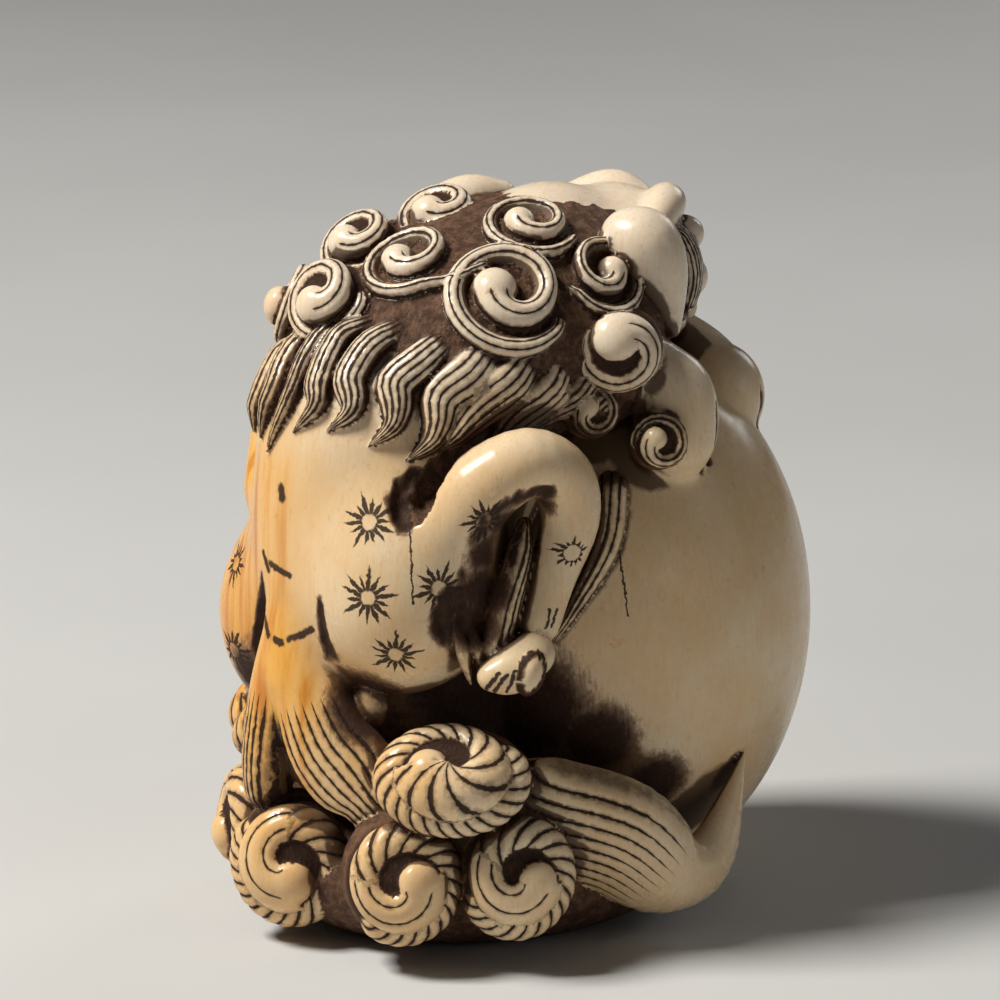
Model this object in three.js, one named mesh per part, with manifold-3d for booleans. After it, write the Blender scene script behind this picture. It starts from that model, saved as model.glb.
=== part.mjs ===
// A netsuke carved from one piece: a shishi, the lion dog, crouches over a large smooth ball.
// Millimetres, +Z up. The shishi faces +X, its right side is -Y, and the underside lies at z = 0.
import * as THREE from 'three';
import { mergeVertices } from 'three/addons/utils/BufferGeometryUtils.js';
import Module from 'manifold-3d';

const wasm = await Module();
wasm.setup();

// ---------------------------------------------------------------- driving dimensions

const BALL = { at: [5, 0, 16], radii: [12.2, 12.2, 15.9] };
const BASE = { at: [-3, 0, 3.4], radii: [13.6, 11, 5] };
const BELLY = { at: [-7, 0, 12], radii: [8.4, 5.6, 7.5] };
const BANK = { at: [-8.6, -6.6, 7.6], radii: [4.4, 4.4, 4.6] };

// Rump, back and the two haunches, which flow into one another.
const BODY = {
  centre: [-10.5, 0, 24],
  blend: 2.4,
  eggs: [
    { at: [-11, 0, 21.2], radii: [6.2, 7.4, 7.8] },
    { at: [-8.6, 0, 27.5], radii: [8.4, 8, 9], tilt: 12 },
    { at: [-11.3, -5.4, 21.6], radii: [5.3, 4.7, 6.2], tilt: 10 },
    { at: [-11.3, 5.9, 17.2], radii: [5, 5.1, 6.4] },
  ],
};

// Skull, mane and the ruff over each shoulder.
const HEAD = {
  centre: [-2, 0, 34.6],
  blend: 2,
  eggs: [
    { at: [-0.6, 0, 35], radii: [8, 8, 6], tilt: -8 },
    { at: [-5, 0, 33.4], radii: [8.4, 8.6, 6.2], tilt: -12 },
    { at: [0.3, -5.2, 32.6], radii: [4.3, 4, 4] },
    { at: [0.3, 5.2, 32.6], radii: [4.3, 4, 4] },
  ],
};

// The face: its front, nose and lower jaw lie on the middle plane, the rest comes in pairs.
const FACE = [
  { at: [5.8, 0, 36], radii: [4.5, 5.3, 5], around: 12, rows: 8 },
  { at: [9.5, 0, 37.4], radii: [1.3, 1.8, 1.1], around: 8, rows: 5 },
  { at: [7.8, 0, 32.9], radii: [2.5, 3, 1.4], around: 8, rows: 5 },
];
const FACE_PAIRS = [
  { at: [8.6, -2, 35.6], radii: [2, 2.1, 1.6], around: 8, rows: 5 },
  { at: [8.3, -2.9, 38.4], radii: [1.3, 1.4, 1.2], around: 8, rows: 5 },
];
const BROW = [[8.8, -0.8, 39.6, 0.8], [7.6, -2.6, 40.4, 1.2], [5.2, -4.6, 39.4, 0.8]];
const CROWN = { at: [1.2, 0, 38.6], radii: [4.6, 3.6, 2.9] };

// Limbs on the right side, each as points along its middle with the radius there.
const LEG = [
  [-11, -7.6, 23.3, 2.9], [-9.8, -9.6, 26.7, 2.3], [-7.7, -10.7, 28.5, 1.9], [-5.5, -10.9, 27.4, 1.8],
  [-4.9, -10.9, 25, 1.6], [-5.9, -10.9, 21.8, 1.3], [-7, -10.9, 19.2, 1.2],
];
const FOOT = [[-10.4, -10.9, 16.6, 0.9], [-9, -11.1, 17.3, 1.3], [-7.3, -11, 18.2, 1.2]];
const RIGHT_ARM = [[0.8, -8, 33, 2.4], [3, -8.6, 30.4, 2.3], [3.6, -9, 28, 2]];
const RIGHT_PAW = { at: [4, -8.7, 29.1], radii: [2.4, 2.2, 3.7] };
const LEFT_ARM = [[3, 7.5, 33, 3], [8.5, 5, 31.5, 2.8], [12.4, 1, 28.4, 2.7]];
const LEFT_PAW = { at: [12.9, 0.4, 27.9], radii: [2.7, 2.9, 2.8] };
const RIGHT_EAR = [[0, -5.4, 39.4, 1.5], [1.5, -7.3, 39.8, 1.9], [2.7, -7.7, 38, 1.6], [3.7, -7.5, 34.7, 0.6]];
const LEFT_EAR = [[3.2, 7.4, 39.4, 0.9], [1.2, 8, 39.2, 1.5], [-0.8, 8.6, 38.2, 1.4], [-2.6, 8.9, 36.6, 0.5]];
const TAIL_ROOT = [[-15.6, 0, 20.5, 1.6], [-16.1, 0, 18, 1.4], [-16.2, -0.3, 15.5, 1.7]];

// Carved curls: where each lies, how wide it is, where its ridge starts as a clock angle in
// degrees seen from outside, and which way it winds in: 1 is clockwise, -1 is the other way.
const MANE_CURLS = [
  { at: [-6.1, -6.8, 37.1], radius: 3.5, start: 110, hand: 1, pair: true },
  { at: [-9, -1.5, 38.4], radius: 2.7, start: 60, hand: 1 },
  { at: [-2.7, -4, 39.9], radius: 2.5, start: 100, hand: 1, pair: true },
  { at: [-0.2, -7.2, 37.6], radius: 2.2, start: 270, hand: -1, pair: true },
  { at: [-0.2, -9, 33.6], radius: 2.5, start: 320, hand: -1, pair: true },
  { at: [-12, 4.2, 35.2], radius: 2.6, start: 60, hand: 1 },
];
const ARM_CURLS = [
  { at: [-1.2, -7.4, 30], out: [-0.5, -0.85, 0.1], radius: 1.5, start: 280, hand: 1 },
  { at: [1.9, -9.2, 28], out: [-0.5, -0.85, 0.1], radius: 1.6, start: 280, hand: 1 },
];
const WHORLS = [
  { at: [-13.2, 5.7, 4.8], out: [-0.8, 0.5, 0.1], radius: 3.2, start: 120, hand: -1 },
  { at: [-15.6, -0.3, 4.3], out: [-0.72, -0.68, 0.12], radius: 3.4, start: 120, hand: -1 },
  { at: [-13.3, -7.4, 5], out: [-0.56, -0.82, 0.05], radius: 3.4, start: 110, hand: -1 },
  { at: [-7.6, -10.6, 4.9], out: [-0.45, -0.88, 0.12], radius: 3.3, start: 120, hand: -1 },
  { at: [-7.6, 10.6, 4.9], out: [-0.45, 0.88, 0.12], radius: 3.3, start: 120, hand: 1 },
];
const RAISED_WHORLS = [
  { at: [-11, -8.4, 10.6], out: [-0.5, -0.66, 0.56], radius: 4, start: 40, hand: 1 },
  { at: [-9.4, 8.2, 9.6], out: [-0.5, 0.66, 0.56], radius: 3.8, start: 320, hand: -1 },
];

// Radii of the dome that carries each kind of whorl.
const ARM_CURL_DOME = [1.5, 1.5, 1.5];
const WHORL_DOME = [3.1, 3.1, 3.1];
const RAISED_DOME = [3.9, 3.9, 2.6];

// Locks of hair: points on or near the skin below, with half the width there.
const BACK_LOCKS = [
  [[-13.2, 0.4, 35, 0.8], [-15.4, 0, 32.4, 1.2], [-16.9, 1, 28.2, 0.15]],
  [[-12.2, -0.9, 35.7, 1], [-14.8, -0.9, 33.2, 1.3], [-15.6, -2, 31.5, 1.1], [-16.7, -1.3, 29.2, 0.15]],
  [[-11.2, -3.4, 35.8, 1], [-13.9, -2.9, 33.4, 1.4], [-14.6, -4, 31.7, 1.2], [-16, -3.2, 29.6, 0.15]],
  [[-9.9, -5.9, 35.3, 1], [-12.7, -4.9, 33, 1.5], [-13.3, -5.6, 31.4, 1.2], [-14.5, -5.4, 29, 0.15]],
  [[-7.6, -7.8, 34.2, 1.1], [-10.9, -6.6, 32.2, 1.6], [-11.7, -7.1, 30.6, 1.3], [-13.1, -6.7, 28.2, 0.15]],
  [[-5.2, -8.3, 33.2, 1.1], [-8.6, -7.7, 31.2, 1.5], [-10.9, -7.5, 29, 0.15]],
];
const LEFT_LOCKS = [
  [[-12.9, 3, 34.2, 1], [-14.6, 3.4, 31.8, 1.5], [-15.8, 3, 29, 0.15]],
  [[-10.6, 6, 34.2, 1.1], [-12.8, 6.2, 31.6, 1.6], [-14.3, 5.4, 28.6, 0.15]],
  [[-7.4, 7.9, 34, 1.1], [-10, 7.6, 31.4, 1.7], [-12, 7.2, 28.2, 0.15]],
  [[-4.4, 8.4, 33, 1.1], [-6.8, 8.2, 30.6, 1.6], [-8.8, 8, 27.6, 0.15]],
];
const LEG_LOCKS = [
  [[-6.4, -9.4, 26, 0.8], [-7.8, -9.7, 22.8, 1.2], [-8.8, -9.9, 19.6, 0.9]],
  [[0, -7.9, 26, 1], [-1.6, -9.4, 22.8, 1], [-4.4, -9.9, 19.4, 0.5], [-5.4, -9.4, 17.6, 0.2]],
  [[-12, -9.2, 20.4, 0.3], [-11, -9.6, 18, 0.7], [-10.4, -9.8, 16.4, 0.2]],
];
const TAIL_LOCKS = [
  [[-16.3, 0.3, 17, 1.1], [-16.9, 0.9, 13, 1.9], [-16.7, 1.3, 8.6, 1.1]],
  [[-16.1, -0.5, 17, 1.1], [-15.9, -2.3, 13.2, 2], [-14.6, -4.3, 9.4, 1.5]],
];
const FLAME = [
  [-5.6, -9.6, 7.6, 4.1], [-2.2, -11.3, 6.4, 3.8], [1.2, -12, 3.9, 2.7], [4.2, -12, 4.6, 1.7],
  [7, -11.2, 9.6, 0.15],
];

// Two holes under the base, joined inside, take the cord that the netsuke hangs on.
const CORD_TUNNEL = [
  [-3, -4.2, -1, 1.8], [-3, -4.2, 2.6, 1.8], [-3, -2.4, 4.8, 1.7], [-3, 0, 5.5, 1.6],
  [-3, 2.4, 4.8, 1.5], [-3, 4.2, 2.6, 1.5], [-3, 4.2, -1, 1.5],
];

// The forms are placed from the middle of the base; this puts the origin under the whole carving.
const ORIGIN_SHIFT = 1.17;

// Joining leaves many tiny edges: those shorter than this are closed up.
const SHORTEST_EDGE = 0.16;

// Rays that find a blended skin start this far out, and are halved this many times.
const FARTHEST_SKIN = 24;
const SKIN_HALVINGS = 22;

const IVORY = new THREE.MeshStandardMaterial({ color: 0xe6d3b0, roughness: 0.32, metalness: 0 });

// ---------------------------------------------------------------- distances and skins

const vector = (place) => new THREE.Vector3(place[0], place[1], place[2]);
const tilted = (egg) => THREE.MathUtils.degToRad(egg.tilt ?? 0);

/** Roughly how far a point is outside one egg, negative inside it. */
function eggDistance(egg, point) {
  const local = point.clone().sub(vector(egg.at)).applyAxisAngle(new THREE.Vector3(0, 1, 0), -tilted(egg));
  const radii = vector(egg.radii);
  const near = local.clone().divide(radii);
  const slope = near.clone().divide(radii).length();
  return near.length() * (near.length() - 1) / Math.max(slope, 1e-6);
}

/** Distance to several eggs whose joints are softened over the form's blend width. */
function skinDistance(form, point) {
  let total = Infinity;
  for (const egg of form.eggs) {
    const distance = eggDistance(egg, point);
    const overlap = Math.max(form.blend - Math.abs(total - distance), 0) / form.blend;
    total = Math.min(total, distance) - (total === Infinity ? 0 : overlap * overlap * form.blend / 4);
  }
  return total;
}

/** The direction straight out of a form's skin at a point. */
function skinNormal(form, point) {
  const step = 0.2;
  const slope = ['x', 'y', 'z'].map((axis) => {
    const ahead = point.clone();
    const behind = point.clone();
    ahead[axis] += step;
    behind[axis] -= step;
    return skinDistance(form, ahead) - skinDistance(form, behind);
  });
  return vector(slope).normalize();
}

/** Moves a point straight in or out until it stands a given height above a form's skin. */
function settle(form, point, height) {
  const place = point.clone();
  for (let round = 0; round < 8; round += 1) {
    place.addScaledVector(skinNormal(form, place), height - skinDistance(form, place));
  }
  return place;
}

// ---------------------------------------------------------------- solids

/** Turns a closed geometry into a solid that can be joined and cut. */
function solid(geometry) {
  geometry.deleteAttribute('normal');
  geometry.deleteAttribute('uv');
  const merged = mergeVertices(geometry, 1e-5);
  return new wasm.Manifold(new wasm.Mesh({
    numProp: 3,
    vertProperties: new Float32Array(merged.attributes.position.array),
    triVerts: new Uint32Array(merged.index.array),
  }));
}

/** One egg: a sphere stretched to its radii, tilted about Y and moved into place. */
function eggSolid(egg, around, rows) {
  const geometry = new THREE.SphereGeometry(1, around, rows);
  geometry.rotateX(Math.PI / 2);
  geometry.scale(...egg.radii);
  geometry.rotateY(tilted(egg));
  geometry.translate(...egg.at);
  return solid(geometry);
}

/** The blended skin of a form, found outwards from its centre in every direction. */
function skinSolid(form, around, rows) {
  const geometry = new THREE.SphereGeometry(1, around, rows);
  geometry.rotateX(Math.PI / 2);
  const centre = vector(form.centre);
  const corners = geometry.attributes.position;
  for (let corner = 0; corner < corners.count; corner += 1) {
    const ray = new THREE.Vector3().fromBufferAttribute(corners, corner).normalize();
    let inside = 0;
    let outside = FARTHEST_SKIN;
    for (let round = 0; round < SKIN_HALVINGS; round += 1) {
      const middle = (inside + outside) / 2;
      const isInside = skinDistance(form, centre.clone().addScaledVector(ray, middle)) < 0;
      inside = isInside ? middle : inside;
      outside = isInside ? outside : middle;
    }
    const place = centre.clone().addScaledVector(ray, inside);
    corners.setXYZ(corner, place.x, place.y, place.z);
  }
  return solid(geometry);
}

/** A rounded, tapering tube through places with radii; up and flat press its section to an oval. */
function tubeSolid(places, { sides = 6, steps = 8, flat = 1, up = null } = {}) {
  const curve = new THREE.CatmullRomCurve3(places.map(vector), false, 'catmullrom', 0.5);
  const radiusAt = (share) => {
    const spot = share * (places.length - 1);
    const first = Math.min(Math.floor(spot), places.length - 2);
    return THREE.MathUtils.lerp(places[first][3], places[first + 1][3], spot - first);
  };
  const corners = [];
  const faces = [];
  const tips = [];
  let side = null;
  const addRing = (middle, across, over, radius) => {
    for (let corner = 0; corner < sides; corner += 1) {
      const angle = (corner / sides + 0.25) * 2 * Math.PI;
      const place = middle.clone().addScaledVector(across, radius * Math.cos(angle));
      place.addScaledVector(over, radius * flat * Math.sin(angle));
      corners.push(place.x, place.y, place.z);
    }
  };
  for (let step = 0; step <= steps; step += 1) {
    const share = step / steps;
    const middle = curve.getPoint(share);
    const along = curve.getTangent(share).normalize();
    const lifted = up ? up(middle) : null;
    const guide = side ?? (Math.abs(along.y) < 0.8 ? new THREE.Vector3(0, 1, 0) : new THREE.Vector3(1, 0, 0));
    side = lifted ? lifted.clone().cross(along).normalize()
      : guide.clone().addScaledVector(along, -guide.dot(along)).normalize();
    const over = along.clone().cross(side);
    const radius = radiusAt(share);
    addRing(middle, side, over, radius);
    if (step === 0 || step === steps) {
      tips.push(middle.addScaledVector(along, (step === 0 ? -0.7 : 0.7) * radius));
    }
  }
  tips.forEach((tip) => corners.push(tip.x, tip.y, tip.z));
  const rings = steps + 1;
  for (let ring = 0; ring < rings - 1; ring += 1) {
    for (let corner = 0; corner < sides; corner += 1) {
      const near = ring * sides + corner;
      const next = ring * sides + (corner + 1) % sides;
      faces.push(near, next, near + sides, next, next + sides, near + sides);
    }
  }
  for (let corner = 0; corner < sides; corner += 1) {
    const next = (corner + 1) % sides;
    faces.push(rings * sides, next, corner);
    faces.push(rings * sides + 1, (rings - 1) * sides + corner, (rings - 1) * sides + next);
  }
  const geometry = new THREE.BufferGeometry();
  geometry.setAttribute('position', new THREE.Float32BufferAttribute(corners, 3));
  geometry.setIndex(faces);
  return solid(geometry);
}

/** The same item on the shishi's left side. */
function mirrored(places) {
  return places.map(([x, y, z, ...rest]) => [x, -y, z, ...rest]);
}

/** A lock of hair: a pressed tube that keeps to the skin below it. */
function lockSolid(form, places, options = {}) {
  const { lift = 0.1, flat = 0.55, sides = 4, steps = 4 } = options;
  const settled = places.map((place) => [...settle(form, vector(place), lift).toArray(), place[3]]);
  return tubeSolid(settled, { sides, steps, flat, up: (middle) => skinNormal(form, middle) });
}

/** A spiral ridge that winds into a round knob, lying on the skin below it. */
function curlSolids(form, curl, { thickness, turns, steps }) {
  const ridge = curl.radius * thickness;
  const centre = vector(curl.at);
  const out = curl.out ? vector(curl.out).normalize() : skinNormal(form, centre);
  const up = new THREE.Vector3(0, 0, 1).addScaledVector(out, -out.z).normalize();
  const right = up.clone().cross(out);
  const spiralPlace = (share) => {
    const angle = THREE.MathUtils.degToRad(curl.start) + curl.hand * turns * 2 * Math.PI * share;
    const reach = THREE.MathUtils.lerp(curl.radius - ridge, curl.radius * 0.24, share ** 1.6);
    const place = centre.clone().addScaledVector(up, reach * Math.cos(angle));
    place.addScaledVector(right, reach * Math.sin(angle));
    return [...settle(form, place, ridge * 0.35).toArray(), ridge * THREE.MathUtils.lerp(0.85, 1.1, share)];
  };
  const places = [];
  for (let step = 0; step <= steps; step += 1) {
    places.push(spiralPlace(step / steps));
  }
  const knob = curl.radius * 0.3;
  const knobEgg = { at: places[steps].slice(0, 3), radii: [knob, knob, knob] };
  const ridgeSolid = tubeSolid(places, { sides: 3, steps, up: (middle) => skinNormal(form, middle) });
  return [ridgeSolid, eggSolid(knobEgg, 6, 4)];
}

// ---------------------------------------------------------------- the carving

/** The smooth ball, the shishi's body, legs and arms. */
function animalSolids() {
  const parts = [eggSolid(BALL, 22, 12), eggSolid(BASE, 14, 6), eggSolid(BELLY, 8, 5)];
  parts.push(skinSolid(BODY, 20, 16), skinSolid(HEAD, 20, 12), eggSolid(CROWN, 10, 6));
  parts.push(...FACE.map((egg) => eggSolid(egg, egg.around, egg.rows)));
  for (const side of [(places) => places, mirrored]) {
    parts.push(...FACE_PAIRS.map((egg) => eggSolid({ ...egg, at: side([egg.at])[0] }, egg.around, egg.rows)));
    parts.push(tubeSolid(side(BROW), { sides: 6, steps: 4 }));
    parts.push(eggSolid({ ...BANK, at: side([BANK.at])[0] }, 8, 6));
    parts.push(tubeSolid(side(LEG), { sides: 6, steps: 10 }));
    parts.push(tubeSolid(side(FOOT), { sides: 6, steps: 3 }));
  }
  const rightEarUp = new THREE.Vector3(-0.4, -2, 0.6);
  const leftEarUp = new THREE.Vector3(-0.4, 2, 0.6);
  parts.push(tubeSolid(RIGHT_EAR, { sides: 7, steps: 5, flat: 0.75, up: () => rightEarUp }));
  parts.push(tubeSolid(LEFT_EAR, { sides: 6, steps: 4, flat: 0.75, up: () => leftEarUp }));
  parts.push(tubeSolid(RIGHT_ARM, { sides: 8, steps: 3 }), eggSolid(RIGHT_PAW, 9, 7));
  parts.push(tubeSolid(LEFT_ARM, { sides: 8, steps: 4 }), eggSolid(LEFT_PAW, 10, 7));
  parts.push(tubeSolid(TAIL_ROOT, { sides: 8, steps: 5 }));
  return parts;
}

/** Every curl of the mane and arms, and the rope-edged whorls round the base. */
function curlForms() {
  const parts = [];
  const onLeft = (curl) => ({ ...curl, at: mirrored([curl.at])[0], hand: -curl.hand, start: -curl.start });
  const both = (curl) => (curl.pair ? [curl, onLeft(curl)] : [curl]);
  for (const curl of MANE_CURLS.flatMap(both)) {
    parts.push(...curlSolids(HEAD, curl, { thickness: 0.16, turns: 1.3, steps: 13 }));
  }
  for (const curl of ARM_CURLS) {
    parts.push(...whorlSolids(curl, ARM_CURL_DOME, { thickness: 0.17, turns: 1.2, steps: 9 }));
  }
  for (const curl of WHORLS) {
    parts.push(...whorlSolids(curl, WHORL_DOME, { thickness: 0.2, turns: 1.35, steps: 13 }));
  }
  for (const curl of RAISED_WHORLS) {
    parts.push(...whorlSolids(curl, RAISED_DOME, { thickness: 0.19, turns: 1.35, steps: 13 }));
  }
  return parts;
}

/** A curl on a dome of its own: the spiral lies on the side of the dome that it faces. */
function whorlSolids(curl, radii, shape) {
  const dome = { blend: 1, eggs: [{ at: curl.at, radii }] };
  const outside = vector(curl.at).addScaledVector(vector(curl.out).normalize(), radii[0]);
  const spiral = { ...curl, at: settle(dome, outside, 0).toArray() };
  return [eggSolid(dome.eggs[0], 8, 5), ...curlSolids(dome, spiral, shape)];
}

/** Hair on the back, legs and tail, and the striped flames at the foot of the ball. */
function hairSolids() {
  const ballSkin = { blend: 1, eggs: [BALL] };
  const parts = BACK_LOCKS.map((lock) => lockSolid(BODY, lock));
  parts.push(...LEFT_LOCKS.map((lock) => lockSolid(BODY, lock)));
  for (const side of [(places) => places, mirrored]) {
    for (const lock of LEG_LOCKS) {
      parts.push(tubeSolid(side(lock), { sides: 5, steps: 4 }));
    }
    const offBall = (middle) => skinNormal(ballSkin, middle);
    parts.push(tubeSolid(side(FLAME), { sides: 6, steps: 7, flat: 0.8, up: offBall }));
  }
  parts.push(...TAIL_LOCKS.map((lock) => tubeSolid(lock, { sides: 6, steps: 4 })));
  return parts;
}

/** Closes up the shortest edges that joining leaves, where no face folds over and none is lost. */
function withoutShortEdges(corners, triangles, shortest) {
  const places = [];
  for (let corner = 0; corner < corners.length; corner += 3) {
    places.push(new THREE.Vector3().fromArray(corners, corner));
  }
  const faces = [];
  const facesAt = places.map(() => new Set());
  for (let first = 0; first < triangles.length; first += 3) {
    const face = [triangles[first], triangles[first + 1], triangles[first + 2]];
    face.forEach((corner) => facesAt[corner].add(faces.length));
    faces.push(face);
  }
  const around = (corner) => new Set([...facesAt[corner]].flatMap((face) => faces[face]));
  const normalOf = (face, moved, target) => {
    const [a, b, c] = face.map((corner) => (moved.includes(corner) ? target : places[corner]));
    return b.clone().sub(a).cross(c.clone().sub(a));
  };
  const closeEdge = (kept, gone) => {
    const nearKept = around(kept);
    const shared = [...around(gone)].filter((corner) => nearKept.has(corner));
    const middle = places[kept].clone().add(places[gone]).multiplyScalar(0.5);
    const touched = [...new Set([...facesAt[kept], ...facesAt[gone]])];
    const staying = touched.filter((face) => !(faces[face].includes(kept) && faces[face].includes(gone)));
    const folds = staying.some((face) => {
      const before = normalOf(faces[face], [], middle);
      const after = normalOf(faces[face], [kept, gone], middle);
      return after.length() < 1e-4 || (before.length() > 1e-3 && before.normalize().dot(after.normalize()) < 0.5);
    });
    if (shared.length !== 4 || folds) {
      return;
    }
    places[kept].copy(middle);
    for (const face of touched) {
      if (!staying.includes(face)) {
        faces[face].forEach((corner) => facesAt[corner].delete(face));
        faces[face] = null;
      } else if (faces[face].includes(gone)) {
        faces[face] = faces[face].map((corner) => (corner === gone ? kept : corner));
        facesAt[kept].add(face);
      }
    }
    facesAt[gone].clear();
  };
  for (let round = 0; round < 3; round += 1) {
    for (let face = 0; face < faces.length; face += 1) {
      for (const side of [0, 1, 2]) {
        const kept = faces[face]?.[side];
        const gone = faces[face]?.[(side + 1) % 3];
        if (faces[face] && places[kept].distanceTo(places[gone]) < shortest) {
          closeEdge(kept, gone);
        }
      }
    }
  }
  return { places, faces: faces.filter((face) => face) };
}

/** All forms joined into one body, cut flat underneath and drilled for its cord. */
function carving() {
  const parts = [...animalSolids(), ...curlForms(), ...hairSolids()];
  let whole = parts[0];
  for (const part of parts.slice(1)) {
    whole = whole.add(part);
  }
  const below = new THREE.BoxGeometry(80, 80, 20);
  below.translate(0, 0, -10);
  whole = whole.subtract(solid(below));
  whole = whole.subtract(tubeSolid(CORD_TUNNEL, { sides: 10, steps: 10 }));
  const mesh = whole.getMesh();
  const { places, faces } = withoutShortEdges(mesh.vertProperties, mesh.triVerts, SHORTEST_EDGE);
  const geometry = new THREE.BufferGeometry();
  const numbers = places.flatMap((place) => place.toArray());
  geometry.setAttribute('position', new THREE.Float32BufferAttribute(numbers, 3));
  geometry.setIndex(faces.flat());
  return mergeVertices(geometry, 1e-6);
}

const netsuke = new THREE.Group();
const piece = new THREE.Mesh(carving(), IVORY);
piece.name = 'shishi_and_ball';
piece.position.x = ORIGIN_SHIFT;
netsuke.add(piece);

export default netsuke;
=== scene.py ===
"""A netsuke: a shishi, the lion dog, clasps a large smooth ball. It is carved from one piece of ivory.

The carved surface is worked out as distances in millimetres from the same named forms as the solid,
meshed once, and painted by node materials that read the marks kept on the mesh's points.
"""

import math

import bpy
import numpy as np
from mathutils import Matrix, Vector


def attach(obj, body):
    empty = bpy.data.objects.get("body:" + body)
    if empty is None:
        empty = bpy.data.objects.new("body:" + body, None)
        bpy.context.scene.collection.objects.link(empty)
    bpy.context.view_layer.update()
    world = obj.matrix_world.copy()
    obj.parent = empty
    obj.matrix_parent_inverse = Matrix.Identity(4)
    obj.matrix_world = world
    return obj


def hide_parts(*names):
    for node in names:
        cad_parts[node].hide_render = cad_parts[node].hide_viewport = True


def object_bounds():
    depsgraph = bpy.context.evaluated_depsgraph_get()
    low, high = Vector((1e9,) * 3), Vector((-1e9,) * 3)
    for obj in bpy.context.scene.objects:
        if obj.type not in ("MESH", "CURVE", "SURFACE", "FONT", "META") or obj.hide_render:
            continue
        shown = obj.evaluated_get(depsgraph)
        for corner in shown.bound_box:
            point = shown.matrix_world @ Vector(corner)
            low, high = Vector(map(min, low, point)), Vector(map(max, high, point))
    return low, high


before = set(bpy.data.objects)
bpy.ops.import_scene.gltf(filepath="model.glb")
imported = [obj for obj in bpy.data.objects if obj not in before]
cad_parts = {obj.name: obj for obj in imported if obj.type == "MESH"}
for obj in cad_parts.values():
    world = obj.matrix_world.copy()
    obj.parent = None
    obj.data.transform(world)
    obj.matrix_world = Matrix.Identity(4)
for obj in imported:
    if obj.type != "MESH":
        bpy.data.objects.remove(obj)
CAD_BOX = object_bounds()

# ---- driving dimensions, in millimetres

MM = 0.001
FAR = 1e3
TINY = 1e-6

# Forms are placed from the middle of the base; the frame's origin lies under the whole carving.
BALL_FRONT = 17.2
SHIFT = CAD_BOX[1][0] / MM - BALL_FRONT

BALL = {"at": (5, 0, 16), "radii": (12.2, 12.2, 15.9)}
BASE = {"at": (-3, 0, 3.4), "radii": (13.6, 11, 5)}
BELLY = {"at": (-7, 0, 12), "radii": (8.4, 5.6, 7.5)}
BANK = {"at": (-8.6, -6.6, 7.6), "radii": (4.4, 4.4, 4.6)}

BODY_BLEND = 2.4
BODY = [
    {"at": (-11, 0, 21.2), "radii": (6.2, 7.4, 7.8)},
    {"at": (-8.6, 0, 27.5), "radii": (8.4, 8, 9), "tilt": 12},
    {"at": (-11.3, -5.4, 21.6), "radii": (5.3, 4.7, 6.2), "tilt": 10},
    {"at": (-11.3, 5.9, 17.2), "radii": (5, 5.1, 6.4)},
]
HEAD_BLEND = 2
HEAD = [
    {"at": (-0.6, 0, 35), "radii": (8, 8, 6), "tilt": -8},
    {"at": (-5, 0, 33.4), "radii": (8.4, 8.6, 6.2), "tilt": -12},
    {"at": (0.3, -5.2, 32.6), "radii": (4.3, 4, 4)},
    {"at": (0.3, 5.2, 32.6), "radii": (4.3, 4, 4)},
]
CROWN = {"at": (1.2, 0, 38.6), "radii": (4.6, 3.6, 2.9)}
MUZZLE = {"at": (5.8, 0, 36), "radii": (4.5, 5.3, 5)}
NOSE = {"at": (9.5, 0, 37.4), "radii": (1.3, 1.8, 1.1)}
JAW = {"at": (7.8, 0, 32.9), "radii": (2.5, 3, 1.4)}
LIP = {"at": (8.6, -2, 35.6), "radii": (2, 2.1, 1.6)}
EYE = {"at": (8.6, -2.9, 38.2), "radii": (1.3, 1.2, 1.1)}
EYE_RING = [(8.9, -4.1, 38.2, 0.3), (8.6, -3.2, 39.3, 0.3), (9.2, -1.8, 38.9, 0.3), (9.9, -1.7, 38, 0.3),
            (9.9, -2.8, 37.2, 0.3), (9.3, -3.9, 37.4, 0.3), (8.9, -4.1, 38.2, 0.3)]
PUPIL = [(9.8, -2.8, 38.5, 0.3), (9.9, -2.9, 38.3, 0.3)]
NOSTRIL = [(10.5, -0.8, 36.9, 0.35), (10.9, -0.8, 37.2, 0.2)]
MOUTH = [(6.4, -5, 35.2, 0.15), (7.8, -4.6, 34, 0.35), (9.4, -3, 33.8, 0.4), (10.1, 0, 34.3, 0.4)]
TOOTH = {"at": (9.5, -2.4, 33.8), "radii": (0.5, 0.45, 0.8)}
BROW = [(8.8, -0.8, 39.4, 0.8), (7.6, -2.6, 40, 1.2), (5.2, -4.6, 39.2, 0.8)]

# Limbs: places along the middle, with the radius there.
LEG = [
    (-11.4, -7.4, 24.2, 2.7), (-10, -9.4, 27.1, 2.2), (-7.7, -10.7, 28.6, 1.9), (-5.5, -10.9, 27.4, 1.8),
    (-4.9, -10.8, 25, 1.65), (-6, -10.7, 22, 1.35), (-6.95, -10.8, 19.4, 1.15),
]
FOOT = [(-10.4, -11.2, 17, 0.85), (-9.3, -11.4, 17.2, 1.3), (-7.9, -11.4, 17.9, 1.3)]
FOOT_PAD = {"at": (-8.85, -12.8, 17.25), "radii": (0.6, 0.4, 0.95), "tilt": 20}
PAD_RING = {"at": (-8.75, -12.55, 17.2), "radii": (0.95, 0.5, 1.3), "tilt": 20}
LEG_STUB = {"at": (-13.6, -3.9, 14.2), "radii": (1, 1, 1.5)}
RIGHT_ARM = [(2.4, -6.8, 32.4, 2), (3.6, -8.3, 30.6, 2.2), (3.8, -8.9, 28, 2)]
RIGHT_PAW = {"at": (4, -8.7, 29.1), "radii": (2.4, 2.2, 3.7)}
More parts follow.
